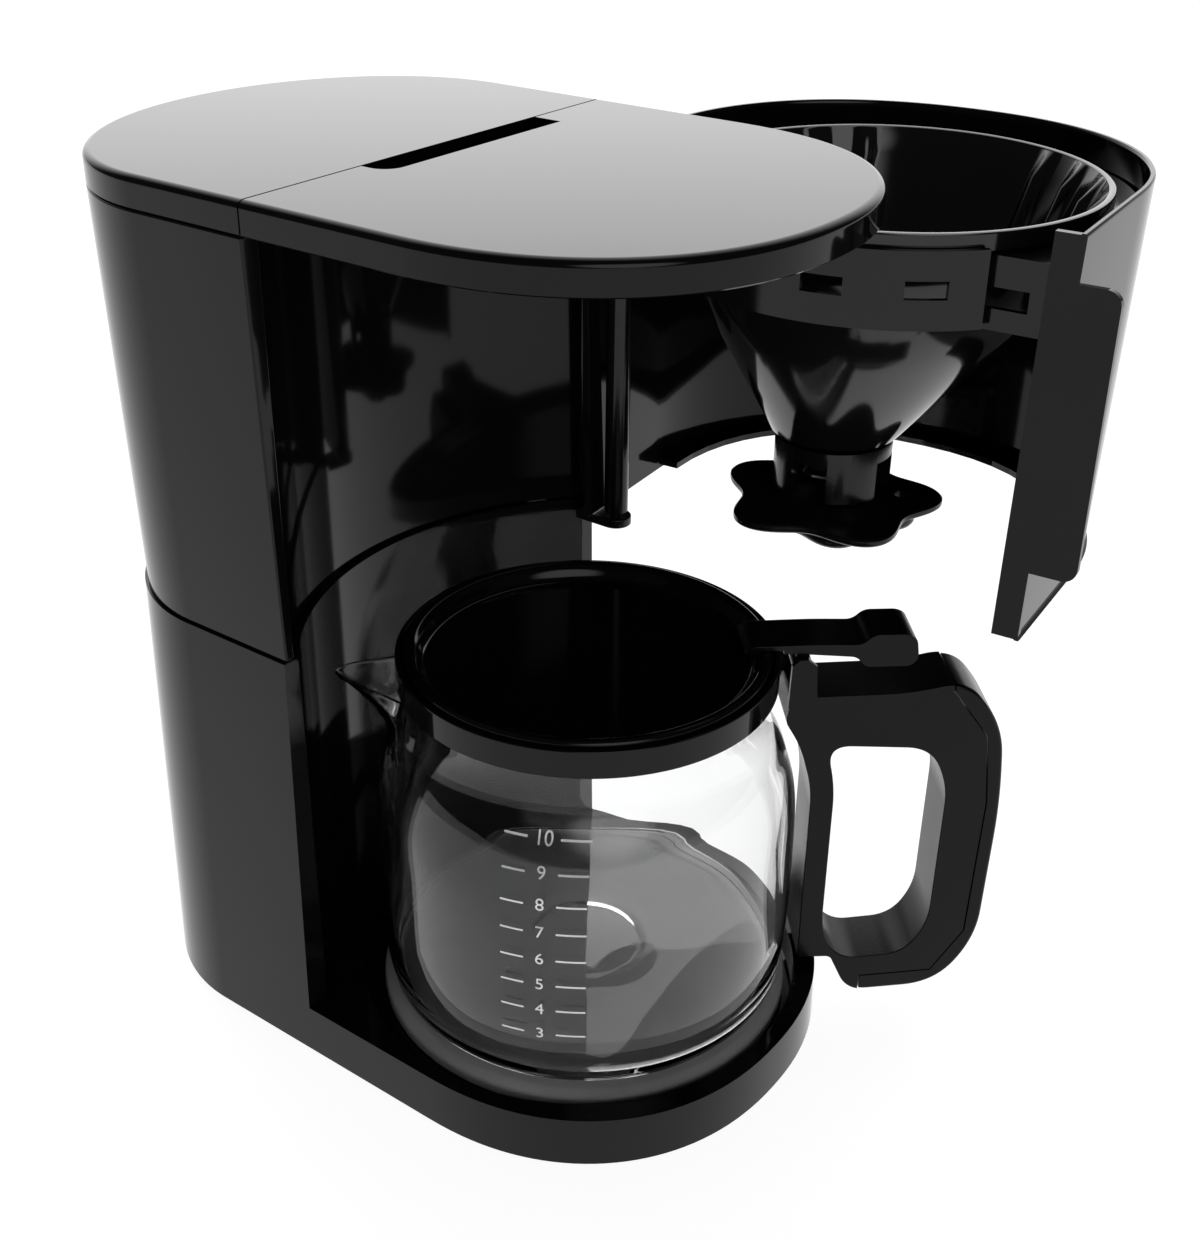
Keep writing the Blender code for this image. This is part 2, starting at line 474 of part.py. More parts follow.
spring = rod("valve_spring", [(VALVE_AXIS[0] + 10.2 * math.cos(t), VALVE_AXIS[1] + 10.2 * math.sin(t), 186.6 + (201.0 - 186.6) * t / (2 * math.pi * SPRING_TURNS))
                              for t in (2 * math.pi * SPRING_TURNS * i / 40 for i in range(41))], 0.7, "steel", 5)
funnel_parts.append(spring)

# ---- fixed hinge brackets ----
def bracket(name, z0, z1, pin0, pin1, y_back):
    hx, hy = HINGE
    plan = [(hx - 6, y_back), (hx - 6, hy)] + [(hx - 6 * math.cos(t), hy - 6 * math.sin(t)) for t in (math.pi * i / 8 for i in range(1, 9))] + [(hx + 6, y_back)]
    plate_ = prism(name, plan, z0, z1, "satin_black")
    combine(plate_, cylinder("add_pin_" + name, hx, hy, 2.0, pin0, pin1, seg=20, home=cutters), "UNION")
    return plate_


bracket("lower_hinge_bracket", 161.8, 165.4, 163.0, 174.0, COLUMN_FRONT - GAP)
bracket("upper_hinge_bracket", 306.1, 309.3, 298.0, 307.5, COLUMN_FRONT - GAP)

turn = Matrix.Rotation(math.radians(DOOR_OPEN_DEG), 4, "Z")
pivot = Matrix.Translation(Vector((HINGE[0], HINGE[1], 0)) * MM)
swing = pivot @ turn @ pivot.inverted()
moving = set(door_parts + funnel_parts + stop_parts)
tools = {m.object for o in moving for m in o.modifiers}
for obj in moving | tools:
    obj.data.transform(swing)

# ---- jug ----
JX, JY = JUG_AXIS
JSEG = 32
GLASS_T = 2.6
outer_profile = [(0, 27.5), (20, 26.6), (30, JUG_BOTTOM_Z), (66, JUG_BOTTOM_Z), (71, 26.2), (73.6, 31), (75.4, 52), (75.6, 84), (74.6, 104), (70, 120), (64.4, 130), (62.6, 138), (63.4, 147)]
inner_profile = [(60.8, 147), (60.0, 138), (61.8, 130.6), (67.4, 120), (72.0, 104), (73.0, 84), (72.8, 52), (70.6, 33), (67.6, 30.6), (30, 29.0), (20, 30.4), (0, 31.2)]


def spout_pull(x, y, z):
    """Draws the rim out into a pouring lip opposite the handle."""
    a = math.radians(HANDLE_DEG + 180)
    dx, dy = x - JX, y - JY
    along = dx * math.cos(a) + dy * math.sin(a)
    across = -dx * math.sin(a) + dy * math.cos(a)
    if along <= 0 or z < 118:
        return x, y, z
    k = math.exp(-(across / 13.0) ** 2) * min(1.0, (z - 118) / 28.0) ** 1.6
    x, y = x + 24 * k * math.cos(a), y + 24 * k * math.sin(a)
    lift = min(1.0, max(0.0, (math.hypot(x - JX, y - JY) - 69.0) / 14.0)) if z > 137 else 0.0
    return x, y, z + 3.0 * lift


def jug_mesh():
    bm = bmesh.new()
    rows = []
    for r, z in outer_profile + inner_profile:
        if r < 1e-6:
            rows.append([bm.verts.new(Vector((JX, JY, z)) * MM)])
            continue
        rows.append([bm.verts.new(Vector(spout_pull(JX + r * math.cos(t), JY + r * math.sin(t), z)) * MM) for t in (2 * math.pi * i / JSEG for i in range(JSEG))])
    for a, b in zip(rows, rows[1:]):
        for i in range(JSEG):
            j = (i + 1) % JSEG
            if len(a) == 1:
                bm.faces.new((a[0], b[j], b[i]))
            elif len(b) == 1:
                bm.faces.new((a[i], a[j], b[0]))
            else:
                bm.faces.new((a[i], a[j], b[j], b[i]))
    return finish("jug_glass", bm, "glass")


jug_mesh()
HD = (math.cos(math.radians(HANDLE_DEG)), math.sin(math.radians(HANDLE_DEG)))


def in_handle_plane(u, w, z):
    return (JX + HD[0] * u - HD[1] * w, JY + HD[1] * u + HD[0] * w, z)


def handle_body(name, outline, half, look, home=None):
    return loft(name, [[in_handle_plane(u, w, z) for u, z in outline] for w in (-half, half)], look, home)


def bend(points, r=8.0, n=4):
    """Rounds the corners of a closed polygon."""
    out = []
    for i, p in enumerate(points):
        a, b = Vector(points[i - 1]), Vector(points[(i + 1) % len(points)])
        c = Vector(p)
        u, v = (a - c), (b - c)
        d = min(r, u.length * 0.45, v.length * 0.45)
        p0, p2 = c + u.normalized() * d, c + v.normalized() * d
        for k in range(n + 1):
            t = k / n
            q = p0 * (1 - t) ** 2 + c * 2 * t * (1 - t) + p2 * t ** 2
            out.append((q.x, q.y))
    return out


outer_loop = [(70, 142), (112, 143), (131, 147.5), (146, 128), (149, 96), (147.5, 34), (134, 12.5), (100, 10), (92.2, 27.2), (79.6, 27.2), (79.6, 40), (79.6, 104), (74.4, 122), (68.6, 132)]
inner_loop = [(84, 122), (121, 120), (128.5, 104), (128, 42), (120, 28), (98, 26), (90, 33), (88, 44), (88, 104)]
handle = handle_body("jug_handle", bend(outer_loop), 12.0, "satin_black")
combine(handle, handle_body("cut_handle_gap", bend(inner_loop, 7), 30.0, "inner_black", cutters))
# the parting line between the handle and its outer cover
PARTING = [(126.0, 165), (126.6, 142.8), (140.3, 124.2), (143.3, 96), (141.8, 38), (131.0, 19.8), (104.0, 17.8), (104.0, -5)]
COVER_SIDE = [(126.5, 165), (127.1, 143.1), (140.8, 124.4), (143.8, 96), (142.3, 37.8), (131.2, 19.3), (104.5, 17.3), (104.5, -5)]
combine(handle, handle_body("cut_handle_back", PARTING + [(175, -5), (175, 165)], 30.0, "inner_black", cutters))
grip = handle_body("jug_handle_cover", bend(outer_loop), 12.0, "satin_black")
combine(grip, handle_body("cut_cover_front", COVER_SIDE + [(60, -5), (60, 165)], 30.0, "inner_black", cutters))
revolve("jug_collar", [(61.5, 147.4), (66.4, 147.4), (66.4, 157.6), (64.5, 157.6), (64.5, 148.8), (61.5, 148.8)], "gloss_black", JUG_AXIS, 40)
combine(handle, revolve("cut_band_path", [(55, 100), (66.8, 100), (66.8, 160), (55, 160)], centre=JUG_AXIS, seg=40, home=cutters))
combine(handle, revolve("cut_glass_path", [(55, 10), (76.6, 10), (76.6, 101), (75.4, 105), (71.4, 121), (66.9, 130), (66.9, 160), (55, 160)], centre=JUG_AXIS, seg=40, home=cutters))

# ---- jug lid with its thumb lever ----
LID_PROFILE = [(0, 150.2), (58, 150.2), (60, 149.1), (63.5, 149.1), (63.5, 158.2), (62.5, 159.2), (60.5, 159.2), (58.8, 157.6), (56.5, 153.6), (0, 152.4)]
jug_lid = revolve("jug_lid", LID_PROFILE, "gloss_black", JUG_AXIS, 40)
lever_outline = bend([(52, 158.0), (70, 158.2), (92, 156.4), (95, 152.4), (111, 152.4), (113.5, 155.4), (112.4, 163.0), (109, 165.0), (97, 165.0), (93.4, 161.2), (78, 161.6), (56, 161.2)], 3.0, 3)
handle_body("jug_lid_lever", lever_outline, 9.5, "satin_black")
combine(bpy.data.objects["jug_lid_lever"], revolve("cut_lever_foot", [(0, 130), (67.2, 130), (67.2, 159.5), (60.0, 159.8), (57.6, 158.2), (55.4, 155), (0, 155)], centre=JUG_AXIS, seg=40, home=cutters))
rod("lid_hinge_pin", [in_handle_plane(73.5, -9.8, 153.2), in_handle_plane(73.5, 9.8, 153.2)], 1.6, "steel", 14)
lever = bpy.data.objects["jug_lid_lever"]
for side in (-1, 1):
    ear = [(69.0, 138), (79.0, 138), (78.0, 154.5), (75.0, 157.0), (72.0, 157.0), (69.4, 154.5)]
    w0, w1 = sorted((side * 10.1, side * 12.0))
    combine(handle, loft("add_ear_%d" % (side + 2), [[in_handle_plane(u, w, z) for u, z in ear] for w in (w0, w1)], home=cutters), "UNION")
combine(lever, rod("add_lever_knuckle", [in_handle_plane(73.5, -9.0, 153.2), in_handle_plane(73.5, 9.0, 153.2)], 3.5, "steel", 14, cutters), "UNION")
combine(lever, handle_body("add_lever_web", [(71.2, 155.2), (75.8, 155.2), (75.8, 160), (71.2, 160)], 8.3, "steel", cutters), "UNION")
combine(lever, rod("cut_lever_bore", [in_handle_plane(73.5, -20, 153.2), in_handle_plane(73.5, 20, 153.2)], 1.9, "steel", 14, cutters))

# ---- place the whole part with its base centre at the origin ----
bpy.context.view_layer.update()
graph = bpy.context.evaluated_depsgraph_get()
low, high = [1e9] * 3, [-1e9] * 3
for obj in parts.objects:
    for v in obj.evaluated_get(graph).data.vertices:
        for k in range(3):
            low[k], high[k] = min(low[k], v.co[k]), max(high[k], v.co[k])
shift = Vector((-(low[0] + high[0]) / 2, -(low[1] + high[1]) / 2, -low[2]))
for obj in list(parts.objects) + list(cutters.objects):
    obj.data.transform(Matrix.Translation(shift))
print("shift", [round(c, 6) for c in shift], "size", [round(h - l, 4) for l, h in zip(low, high)])
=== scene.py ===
import json
import math
import bpy
import bmesh
from mathutils import Matrix, Vector


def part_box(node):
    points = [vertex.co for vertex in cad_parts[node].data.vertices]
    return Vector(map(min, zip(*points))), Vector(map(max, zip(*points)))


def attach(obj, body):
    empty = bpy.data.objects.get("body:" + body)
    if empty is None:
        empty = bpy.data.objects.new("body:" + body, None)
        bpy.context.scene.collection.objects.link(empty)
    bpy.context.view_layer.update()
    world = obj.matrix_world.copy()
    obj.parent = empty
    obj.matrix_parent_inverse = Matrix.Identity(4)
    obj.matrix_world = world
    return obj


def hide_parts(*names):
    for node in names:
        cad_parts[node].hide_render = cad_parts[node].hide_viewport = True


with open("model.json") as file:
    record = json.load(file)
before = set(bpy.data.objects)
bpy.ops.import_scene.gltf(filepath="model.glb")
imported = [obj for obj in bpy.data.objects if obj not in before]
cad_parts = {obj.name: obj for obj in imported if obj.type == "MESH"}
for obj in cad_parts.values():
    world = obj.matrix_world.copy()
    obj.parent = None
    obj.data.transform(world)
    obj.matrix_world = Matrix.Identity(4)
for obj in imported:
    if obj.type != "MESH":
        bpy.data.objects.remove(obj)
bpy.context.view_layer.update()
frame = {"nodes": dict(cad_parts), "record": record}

MM = 0.001
HALF_WIDTH, FRONT_BULGE = 86.5, 87.4
REAR_CENTRE, REAR_BULGE = 104.5, 70.7
COLUMN_FRONT, SEAM_Z, LID_Z, HEIGHT = 57.6, 167.5, 309.6, 320.0
BASE_RIM_Z, WALL, GAP = 23.4, 2.5, 0.3
TAPER_UPPER, TAPER_LOWER, FLARE_BASE = 3.3, 2.2, 1.0
BAY_CENTRE_Y, BAY_RADIUS, BAY_HALF_WIDTH = -20.0, 110.0, 78.0
DOOR_HALF, DOOR_BULGE, FULLNESS = 90.0, 91.0, 2.0 / 2.2
HINGE, DOOR_OPEN_DEG, DOOR_Z = (79.0, 42.1), 95.0, (166.2, 305.5)
FUNNEL_AXIS, VALVE_AXIS, JUG_AXIS = (-5.0, 3.0), (7.0, 4.0), (0.0, -3.0)
HANDLE_DEG = -50.0
WIDE, PAST = 150.0, 9            # beyond the whole machine; how far a cutter stands past a face
ARC, BAY_STEPS, EDGE_STEPS = 72, 60, 6
ROUND = 160                      # segments of the large turned pieces
QUARTER_TURN, HALF_TURN, FULL_TURN = math.pi / 2, math.pi, 2 * math.pi
WELD = 2e-6                      # metres
ON_AXIS = 1e-6

# the hot plate is centred on the jug axis, which ties these millimetres to the frame
hot_low, hot_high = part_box("hot_plate")
SHIFT = Vector(((hot_low.x + hot_high.x) / 2 - JUG_AXIS[0] * MM,
                (hot_low.y + hot_high.y) / 2 - JUG_AXIS[1] * MM, 0.0))
PLACE = Matrix.Translation(SHIFT)
PIVOT = Matrix.Translation(Vector((HINGE[0], HINGE[1], 0)) * MM)
SWING = PLACE @ PIVOT @ Matrix.Rotation(math.radians(DOOR_OPEN_DEG), 4, "Z") @ PIVOT.inverted()


# ---- materials ----
def node(tree, kind, **values):
    n = tree.nodes.new(kind)
    for key, value in values.items():
        if key in n.inputs:
            n.inputs[key].default_value = value
        else:
            setattr(n, key, value)
    return n


def moulded(name, colour, rough, rough_spread=0.04, grain=0.0, grain_scale=900.0,
            tint=0.25, metal=0.0, ior=1.5, scuff=0.0, level=0.5):
    """Moulded plastic, rubber or metal: slow colour drift, uneven polish and a fine grain."""
    mat = bpy.data.materials.new(name)
    mat.use_nodes = True
    tree = mat.node_tree
    shader = tree.nodes["Principled BSDF"]
    shader.inputs["Metallic"].default_value = metal
    shader.inputs["IOR"].default_value = ior
    shader.inputs["Specular IOR Level"].default_value = level
    where = node(tree, "ShaderNodeTexCoord")
    drift = node(tree, "ShaderNodeTexNoise", Scale=14.0, Detail=3.0)
    tree.links.new(where.outputs["Object"], drift.inputs["Vector"])
    ramp = node(tree, "ShaderNodeValToRGB")
    dark, pale = ramp.color_ramp.elements
    dark.position, pale.position = 0.3, 0.7
    dark.color = (*[c * (1 - tint) for c in colour], 1)
    pale.color = (*[min(1, c * (1 + tint)) for c in colour], 1)
    tree.links.new(drift.outputs["Fac"], ramp.inputs["Fac"])
    tree.links.new(ramp.outputs["Color"], shader.inputs["Base Color"])
    wipe = node(tree, "ShaderNodeTexNoise", Scale=60.0, Detail=5.0, Roughness=0.65)
    tree.links.new(where.outputs["Object"], wipe.inputs["Vector"])
    span = node(tree, "ShaderNodeMapRange")
    span.inputs["To Min"].default_value = max(0.01, rough - rough_spread)
    span.inputs["To Max"].default_value = rough + rough_spread + scuff
    tree.links.new(wipe.outputs["Fac"], span.inputs["Value"])
    tree.links.new(span.outputs["Result"], shader.inputs["Roughness"])
    if grain:
        fine = node(tree, "ShaderNodeTexNoise", Scale=grain_scale, Detail=2.0)
        tree.links.new(where.outputs["Object"], fine.inputs["Vector"])
        bump = node(tree, "ShaderNodeBump", Strength=grain, Distance=0.0004)
        tree.links.new(fine.outputs["Fac"], bump.inputs["Height"])
        tree.links.new(bump.outputs["Normal"], shader.inputs["Normal"])
    return mat


def clear(name, colour, rough, transmission, ior):
    mat = moulded(name, colour, rough, 0.01, tint=0.03, ior=ior)
    mat.node_tree.nodes["Principled BSDF"].inputs["Transmission Weight"].default_value = transmission
    return mat


LOOK = {
    "gloss_black": moulded("piano_black", (0.003, 0.003, 0.0033), 0.075, 0.025, level=0.2),
    "satin_black": moulded("satin_black", (0.005, 0.005, 0.0055), 0.26, 0.05, grain=0.08, level=0.25),
    "inner_black": moulded("inner_black", (0.003, 0.003, 0.0033), 0.14, 0.04, grain=0.03, level=0.3),
    "funnel_black": moulded("funnel_black", (0.004, 0.004, 0.0043), 0.1, 0.03, level=0.45),
    "handle_black": moulded("handle_black", (0.003, 0.003, 0.0033), 0.24, 0.05,
                            grain=0.1, grain_scale=1400.0, level=0.15),
    "grey_plastic": moulded("grey_moulding", (0.02, 0.02, 0.021), 0.38, 0.06, grain=0.1),
    "clear_grey": clear("smoke_clear", (0.32, 0.335, 0.35), 0.16, 0.45, 1.46),
    "glass": clear("jug_glass_clear", (0.985, 0.99, 0.988), 0.012, 1.0, 1.34),
    "coated_steel": moulded("nonstick_coating", (0.3, 0.3, 0.3), 0.38, 0.05,
                            grain=0.35, grain_scale=2200.0, scuff=0.06, level=0.2),
    "steel": moulded("brushed_steel", (0.55, 0.55, 0.56), 0.28, 0.08, metal=1.0, tint=0.06),
    "aluminium": moulded("drawn_aluminium", (0.6, 0.6, 0.62), 0.4, 0.08, metal=1.0, tint=0.06),
    "silicone": moulded("silicone_rubber", (0.5, 0.5, 0.48), 0.5, 0.06, tint=0.08),
    "rubber": moulded("foot_rubber", (0.016, 0.016, 0.016), 0.7, 0.08, grain=0.3),
    "print": moulded("scale_print", (0.82, 0.82, 0.82), 0.5, 0.05, tint=0.04),
}
slot_of = {r["node"]: r["material_slot"] for r in frame["record"]["subparts"]}
for name, obj in frame["nodes"].items():
    obj.data.materials.clear()
    obj.data.materials.append(LOOK[slot_of[name]])


# ---- mesh helpers: every mesh starts in millimetres, in the closed-door layout ----
def spread(start, end, n):
    """The n + 1 even steps from start to end."""
    return [start + (end - start) * i / n for i in range(n + 1)]


def shell(rings, caps=True, closed=False):
    """Skin over a stack of rings of points. A ring of one point is a tip.
    A closed stack joins its last ring to its first."""
    bm = bmesh.new()
    rows = [[bm.verts.new(Vector(p) * MM) for p in ring] for ring in rings]
    for a, b in zip(rows, rows[1:] + rows[:1] if closed else rows[1:]):
        n = max(len(a), len(b))
        for i in range(n):
            j = (i + 1) % n
            if len(a) == 1:
                bm.faces.new((a[0], b[j], b[i]))
            elif len(b) == 1:
                bm.faces.new((a[i], a[j], b[0]))
            else:
                bm.faces.new((a[i], a[j], b[j], b[i]))
    if caps:
        bm.faces.new(list(reversed(rows[0])))
        bm.faces.new(rows[-1])
    bmesh.ops.recalc_face_normals(bm, faces=bm.faces)
    return bm


def stacked(outline_at, levels):
    """Skin over the outlines of (inset, z) levels."""
    return shell([[(x, y, z) for x, y in outline_at(inset)] for inset, z in levels])


def prism(outline, z0, z1):
    return shell([[(x, y, z) for x, y in outline] for z in (z0, z1)])


def box(low, high):
    (x0, y0, z0), (x1, y1, z1) = low, high
    return prism([(x0, y0), (x1, y0), (x1, y1), (x0, y1)], z0, z1)


def turned(profile, centre=(0, 0), seg=144, warp=None):
    """Profile of (radius, z) turned about a vertical axis.
    A profile that starts and ends on the axis closes itself; any other is a closed ring."""
    warp = warp or (lambda x, y, z, i, k: (x, y, z))
    rings = []
    for k, (r, z) in enumerate(profile):
        if r < ON_AXIS:
            rings.append([(centre[0], centre[1], z)])
        else:
            rings.append([warp(centre[0] + r * math.cos(t), centre[1] + r * math.sin(t), z, i, k)
                          for i, t in enumerate(spread(0, FULL_TURN, seg)[:-1])])
    return shell(rings, caps=False, closed=profile[0][0] > ON_AXIS)


def peg(x, y, r, z0, z1, seg=48):
    return turned([(0, z0), (r, z0), (r, z1), (0, z1)], (x, y), seg)


def bar(path, radius, seg):
    """Round bar along a path of points."""
    pts = [Vector(p) for p in path]
    up = Vector((0.13, 0.27, 0.95)).normalized()
    rings = []
    for i, p in enumerate(pts):
        way = (pts[min(i + 1, len(pts) - 1)] - pts[max(i - 1, 0)]).normalized()
        side = way.cross(up)
        if side.length < 0.2:
            side = way.cross(Vector((1, 0, 0)))
        side.normalize()
        up = side.cross(way).normalized()
        rings.append([tuple(p + radius * (side * math.cos(t) + up * math.sin(t)))
                      for t in spread(0, FULL_TURN, seg)[:-1]])
    return shell(rings)


def rounded(points, n=6):
    """Rounds each corner of a closed (radius, z) or (x, y) polygon whose third value gives a fillet."""
    out = []
    for i, p in enumerate(points):
        r = p[2] if len(p) > 2 else 0
        c = Vector(p[:2])
        if not r:
            out.append((c.x, c.y))
            continue
        u, v = Vector(points[i - 1][:2]) - c, Vector(points[(i + 1) % len(points)][:2]) - c
        d = min(r, u.length * 0.49, v.length * 0.49)
        p0, p2 = c + u.normalized() * d, c + v.normalized() * d
        for k in range(n + 1):
            t = k / n
            q = p0 * (1 - t) ** 2 + c * 2 * t * (1 - t) + p2 * t ** 2
            out.append((q.x, q.y))
    return out


def curve_through(points, per=6):
    """Smooth open curve through (r, z) points."""
    pts = [Vector(p) for p in points]
    out = []
    for i in range(len(pts) - 1):
        p0, p1, p2, p3 = pts[max(i - 1, 0)], pts[i], pts[i + 1], pts[min(i + 2, len(pts) - 1)]
        for k in range(per):
            t = k / per
            q = 0.5 * ((2 * p1) + (p2 - p0) * t + (2 * p0 - 5 * p1 + 4 * p2 - p3) * t * t
                       + (3 * p1 - p0 - 3 * p2 + p3) * t ** 3)
            out.append((max(0.0, q.x), q.y))
    out.append(tuple(pts[-1]))
    return out


def bake(obj):
    """Replaces an object's mesh with the result of its modifiers."""
    bpy.context.view_layer.update()
    final = bpy.data.meshes.new_from_object(obj.evaluated_get(bpy.context.evaluated_depsgraph_get()))
    obj.modifiers.clear()
    obj.data = final


def make(name, base, body, look, nodes=(), steps=(), swing=False, sharp=32.0):
    """Turns a base mesh and its steps into one finished piece on a CAD body.
    A step is ("cut", mesh), ("add", mesh) or ("bevel", width, segments, least angle)."""
    scene = bpy.context.scene
    mesh = bpy.data.meshes.new(name)
    base.to_mesh(mesh)
    base.free()
    obj = bpy.data.objects.new(name, mesh)
    scene.collection.objects.link(obj)
    tools = []
    for k, step in enumerate(steps):
        if step[0] == "bevel":
            mod = obj.modifiers.new("bevel%d" % k, "BEVEL")
            mod.width, mod.segments, mod.angle_limit = step[1] * MM, step[2], math.radians(step[3])
            mod.limit_method = "ANGLE"
            mod.use_clamp_overlap = True
            continue
        tool_mesh = bpy.data.meshes.new("tool")
        step[1].to_mesh(tool_mesh)
        step[1].free()
        tool = bpy.data.objects.new("tool", tool_mesh)
        scene.collection.objects.link(tool)
        tools.append(tool)
        mod = obj.modifiers.new("bool%d" % k, "BOOLEAN")
        mod.operation = "DIFFERENCE" if step[0] == "cut" else "UNION"
        mod.solver = "EXACT"
        mod.object = tool
    if steps:
        bake(obj)
        for tool in tools:
            bpy.data.objects.remove(tool, do_unlink=True)
    bm = bmesh.new()
    bm.from_mesh(obj.data)
    bmesh.ops.remove_doubles(bm, verts=bm.verts, dist=WELD)
    limit = math.radians(sharp)
    for e in bm.edges:
        e.smooth = len(e.link_faces) == 2 and e.calc_face_angle(0.0) < limit
    for f in bm.faces:
        f.smooth = True
    bm.to_mesh(obj.data)
    bm.free()
    mod = obj.modifiers.new("weighted", "WEIGHTED_NORMAL")
    mod.mode, mod.weight, mod.keep_sharp = "FACE_AREA", 50, True
    bake(obj)
    obj.data.transform(SWING if swing else PLACE)
    obj.data.materials.clear()
    obj.data.materials.append(LOOK[look])
    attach(obj, body)
    if nodes:
        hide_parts(*nodes)
    return obj


# ---- outlines ----
def inset_at(z):
    """How far the side wall stands inside its widest outline at a height."""
    if z > SEAM_Z:
        return TAPER_UPPER * (LID_Z - min(z, LID_Z)) / (LID_Z - SEAM_Z)
    return TAPER_LOWER * z / SEAM_Z - FLARE_BASE * (SEAM_Z - z) / SEAM_Z


def front_arc(inset, y_end=None, half=HALF_WIDTH, bulge=FRONT_BULGE):
    """Front half of the outline, left to right, drawn on to the two y values of y_end."""
    r, e = half - inset, bulge - inset
    arc = []
    for t in spread(0, HALF_TURN, ARC):
        c, q = math.cos(t), math.sin(t)
        arc.append((-r * math.copysign(abs(c) ** FULLNESS, c), -e * abs(q) ** FULLNESS))
    arc[0], arc[-1] = (-r, 0.0), (r, 0.0)
    return arc if y_end is None else [(-r, y_end[0])] + arc + [(r, y_end[1])]


def door_arc(inset, y_end):
    return front_arc(inset, y_end, DOOR_HALF, DOOR_BULGE)


def rear_arc(inset):
    r, e = HALF_WIDTH - inset, REAR_BULGE - inset
    return [(r * math.cos(t), REAR_CENTRE + e * math.sin(t)) for t in spread(0, HALF_TURN, ARC)]


def full_outline(inset):
    return front_arc(inset) + rear_arc(inset)


def rear_outline(inset, y_front=COLUMN_FRONT):
    r = HALF_WIDTH - inset
    return [(-r, y_front), (r, y_front)] + rear_arc(inset)


def bay_arc(offset=0.0):
    """Concave wall behind the jug, right to left."""
    r = BAY_RADIUS + offset
    half = math.asin(BAY_HALF_WIDTH / BAY_RADIUS)
    return [(r * math.sin(t), BAY_CENTRE_Y + r * math.cos(t)) for t in spread(half, -half, BAY_STEPS)]


def edge_profile(z0, z1, radius):
    """(inset, z) pairs of a side wall whose top edge is rounded."""
    out = [(0.5, z0), (0.0, z0 + 0.5)]
    out += [(radius - radius * math.cos(t), z1 - radius + radius * math.sin(t))
            for t in spread(0, QUARTER_TURN, EDGE_STEPS)]
    return out


# ---- lower housing ----
WELL_R, WELL_Z = 82.0, 17.0
GLAND_X, GLAND_Y, GLAND_Z = -40, REAR_CENTRE + REAR_BULGE, 26
bay = bay_arc()
bay_plan = [(-WIDE, -WIDE), (WIDE, -WIDE), (WIDE, COLUMN_FRONT), (bay[0][0], COLUMN_FRONT)]
bay_plan += bay + [(bay[-1][0], COLUMN_FRONT), (-WIDE, COLUMN_FRONT)]
hollow_half, hollow_front = HALF_WIDTH - WALL - TAPER_LOWER - 0.5, COLUMN_FRONT + WALL + 4
hollow = [(hollow_half, hollow_front)] + rear_arc(WALL + TAPER_LOWER + 0.5) + [(-hollow_half, hollow_front)]
hollow += [(x, y) for x, y in reversed(bay_arc(WALL)) if y > hollow_front + 0.5]
lower_levels = [(inset_at(z) + more, z)
                for z, more in ((3.0, 0.9), (3.9, 0.0), (BASE_RIM_Z, 0), (95, 0), (SEAM_Z, 0))]
make("lower_housing_shell", stacked(full_outline, lower_levels),
     "machine", "gloss_black", ["lower_housing"], [
    ("cut", prism(bay_plan, BASE_RIM_Z, SEAM_Z + PAST)),
    ("cut", peg(0, 0, WELL_R, WELL_Z, BASE_RIM_Z + PAST, ROUND)),
    ("bevel", 1.7, 4, 40),
    ("cut", prism(full_outline(WALL + inset_at(8)), -4.0, 14.0)),
    ("cut", prism(hollow, 10.0, SEAM_Z + PAST)),
    # openings for the rocker switch and the cord gland
    ("cut", box((70, 95.2, 60.2), (100, 122.8, 79.8))),
    ("cut", bar([(GLAND_X, GLAND_Y - 30, GLAND_Z), (GLAND_X, GLAND_Y + 20, GLAND_Z)], 5.6, 40)),
])

# ---- upper housing ----
UP0, UP1 = SEAM_Z + GAP, LID_Z - GAP
UPPER_BAY, UPPER_FRONT = 2.4, COLUMN_FRONT + 6.5
upper_bay = [(-79.0, 40), (79.0, 40)]
upper_bay += [(x, y) for x, y in bay_arc(UPPER_BAY) if y > COLUMN_FRONT - 1]
upper_wall = [(x, y) for x, y in reversed(bay_arc(UPPER_BAY + WALL)) if y > COLUMN_FRONT + 7.0]


def upper_inner(inset):
    half = HALF_WIDTH - inset
    return [(half, UPPER_FRONT)] + rear_arc(inset) + [(-half, UPPER_FRONT)] + upper_wall


make("upper_housing_shell", stacked(rear_outline, [(inset_at(z), z) for z in (UP0 + 0.01, 240, UP1)]),
     "machine", "gloss_black", ["upper_housing"], [
    ("cut", prism(upper_bay, UP0 - 3, UP1 + PAST)),
    ("bevel", 0.7, 3, 40),
    ("cut", stacked(upper_inner, [(inset_at(UP0 + WALL) + WALL, UP0 + WALL), (WALL, UP1), (WALL, UP1 + PAST)])),
    # notch for the tank lid's hinge, then two holes through the floor
    ("cut", box((-37, 160, 302.5), (37, 190, 330))),
    ("cut", peg(73.0, 76.5, 5.0, 160, 178)),
    ("cut", peg(0, 120, 5.6, 160, 178)),
])

# ---- top cover and tank lid ----
TOP_EDGE, COVER_WALL, COVER_TOP = 2.6, 2.2, 3.2
COVER_END = COLUMN_FRONT - 0.3


def slot_outline(x0, x1, y0, y1, r=7.0, n=14):
    """Slot with one rounded corner at (x0, y0)."""
    left = [(x0 + r - r * math.sin(t), y0 + r - r * math.cos(t)) for t in spread(0, QUARTER_TURN, n)]
    return [(x0, y1)] + list(reversed(left)) + [(x1, y0), (x1, y1)]


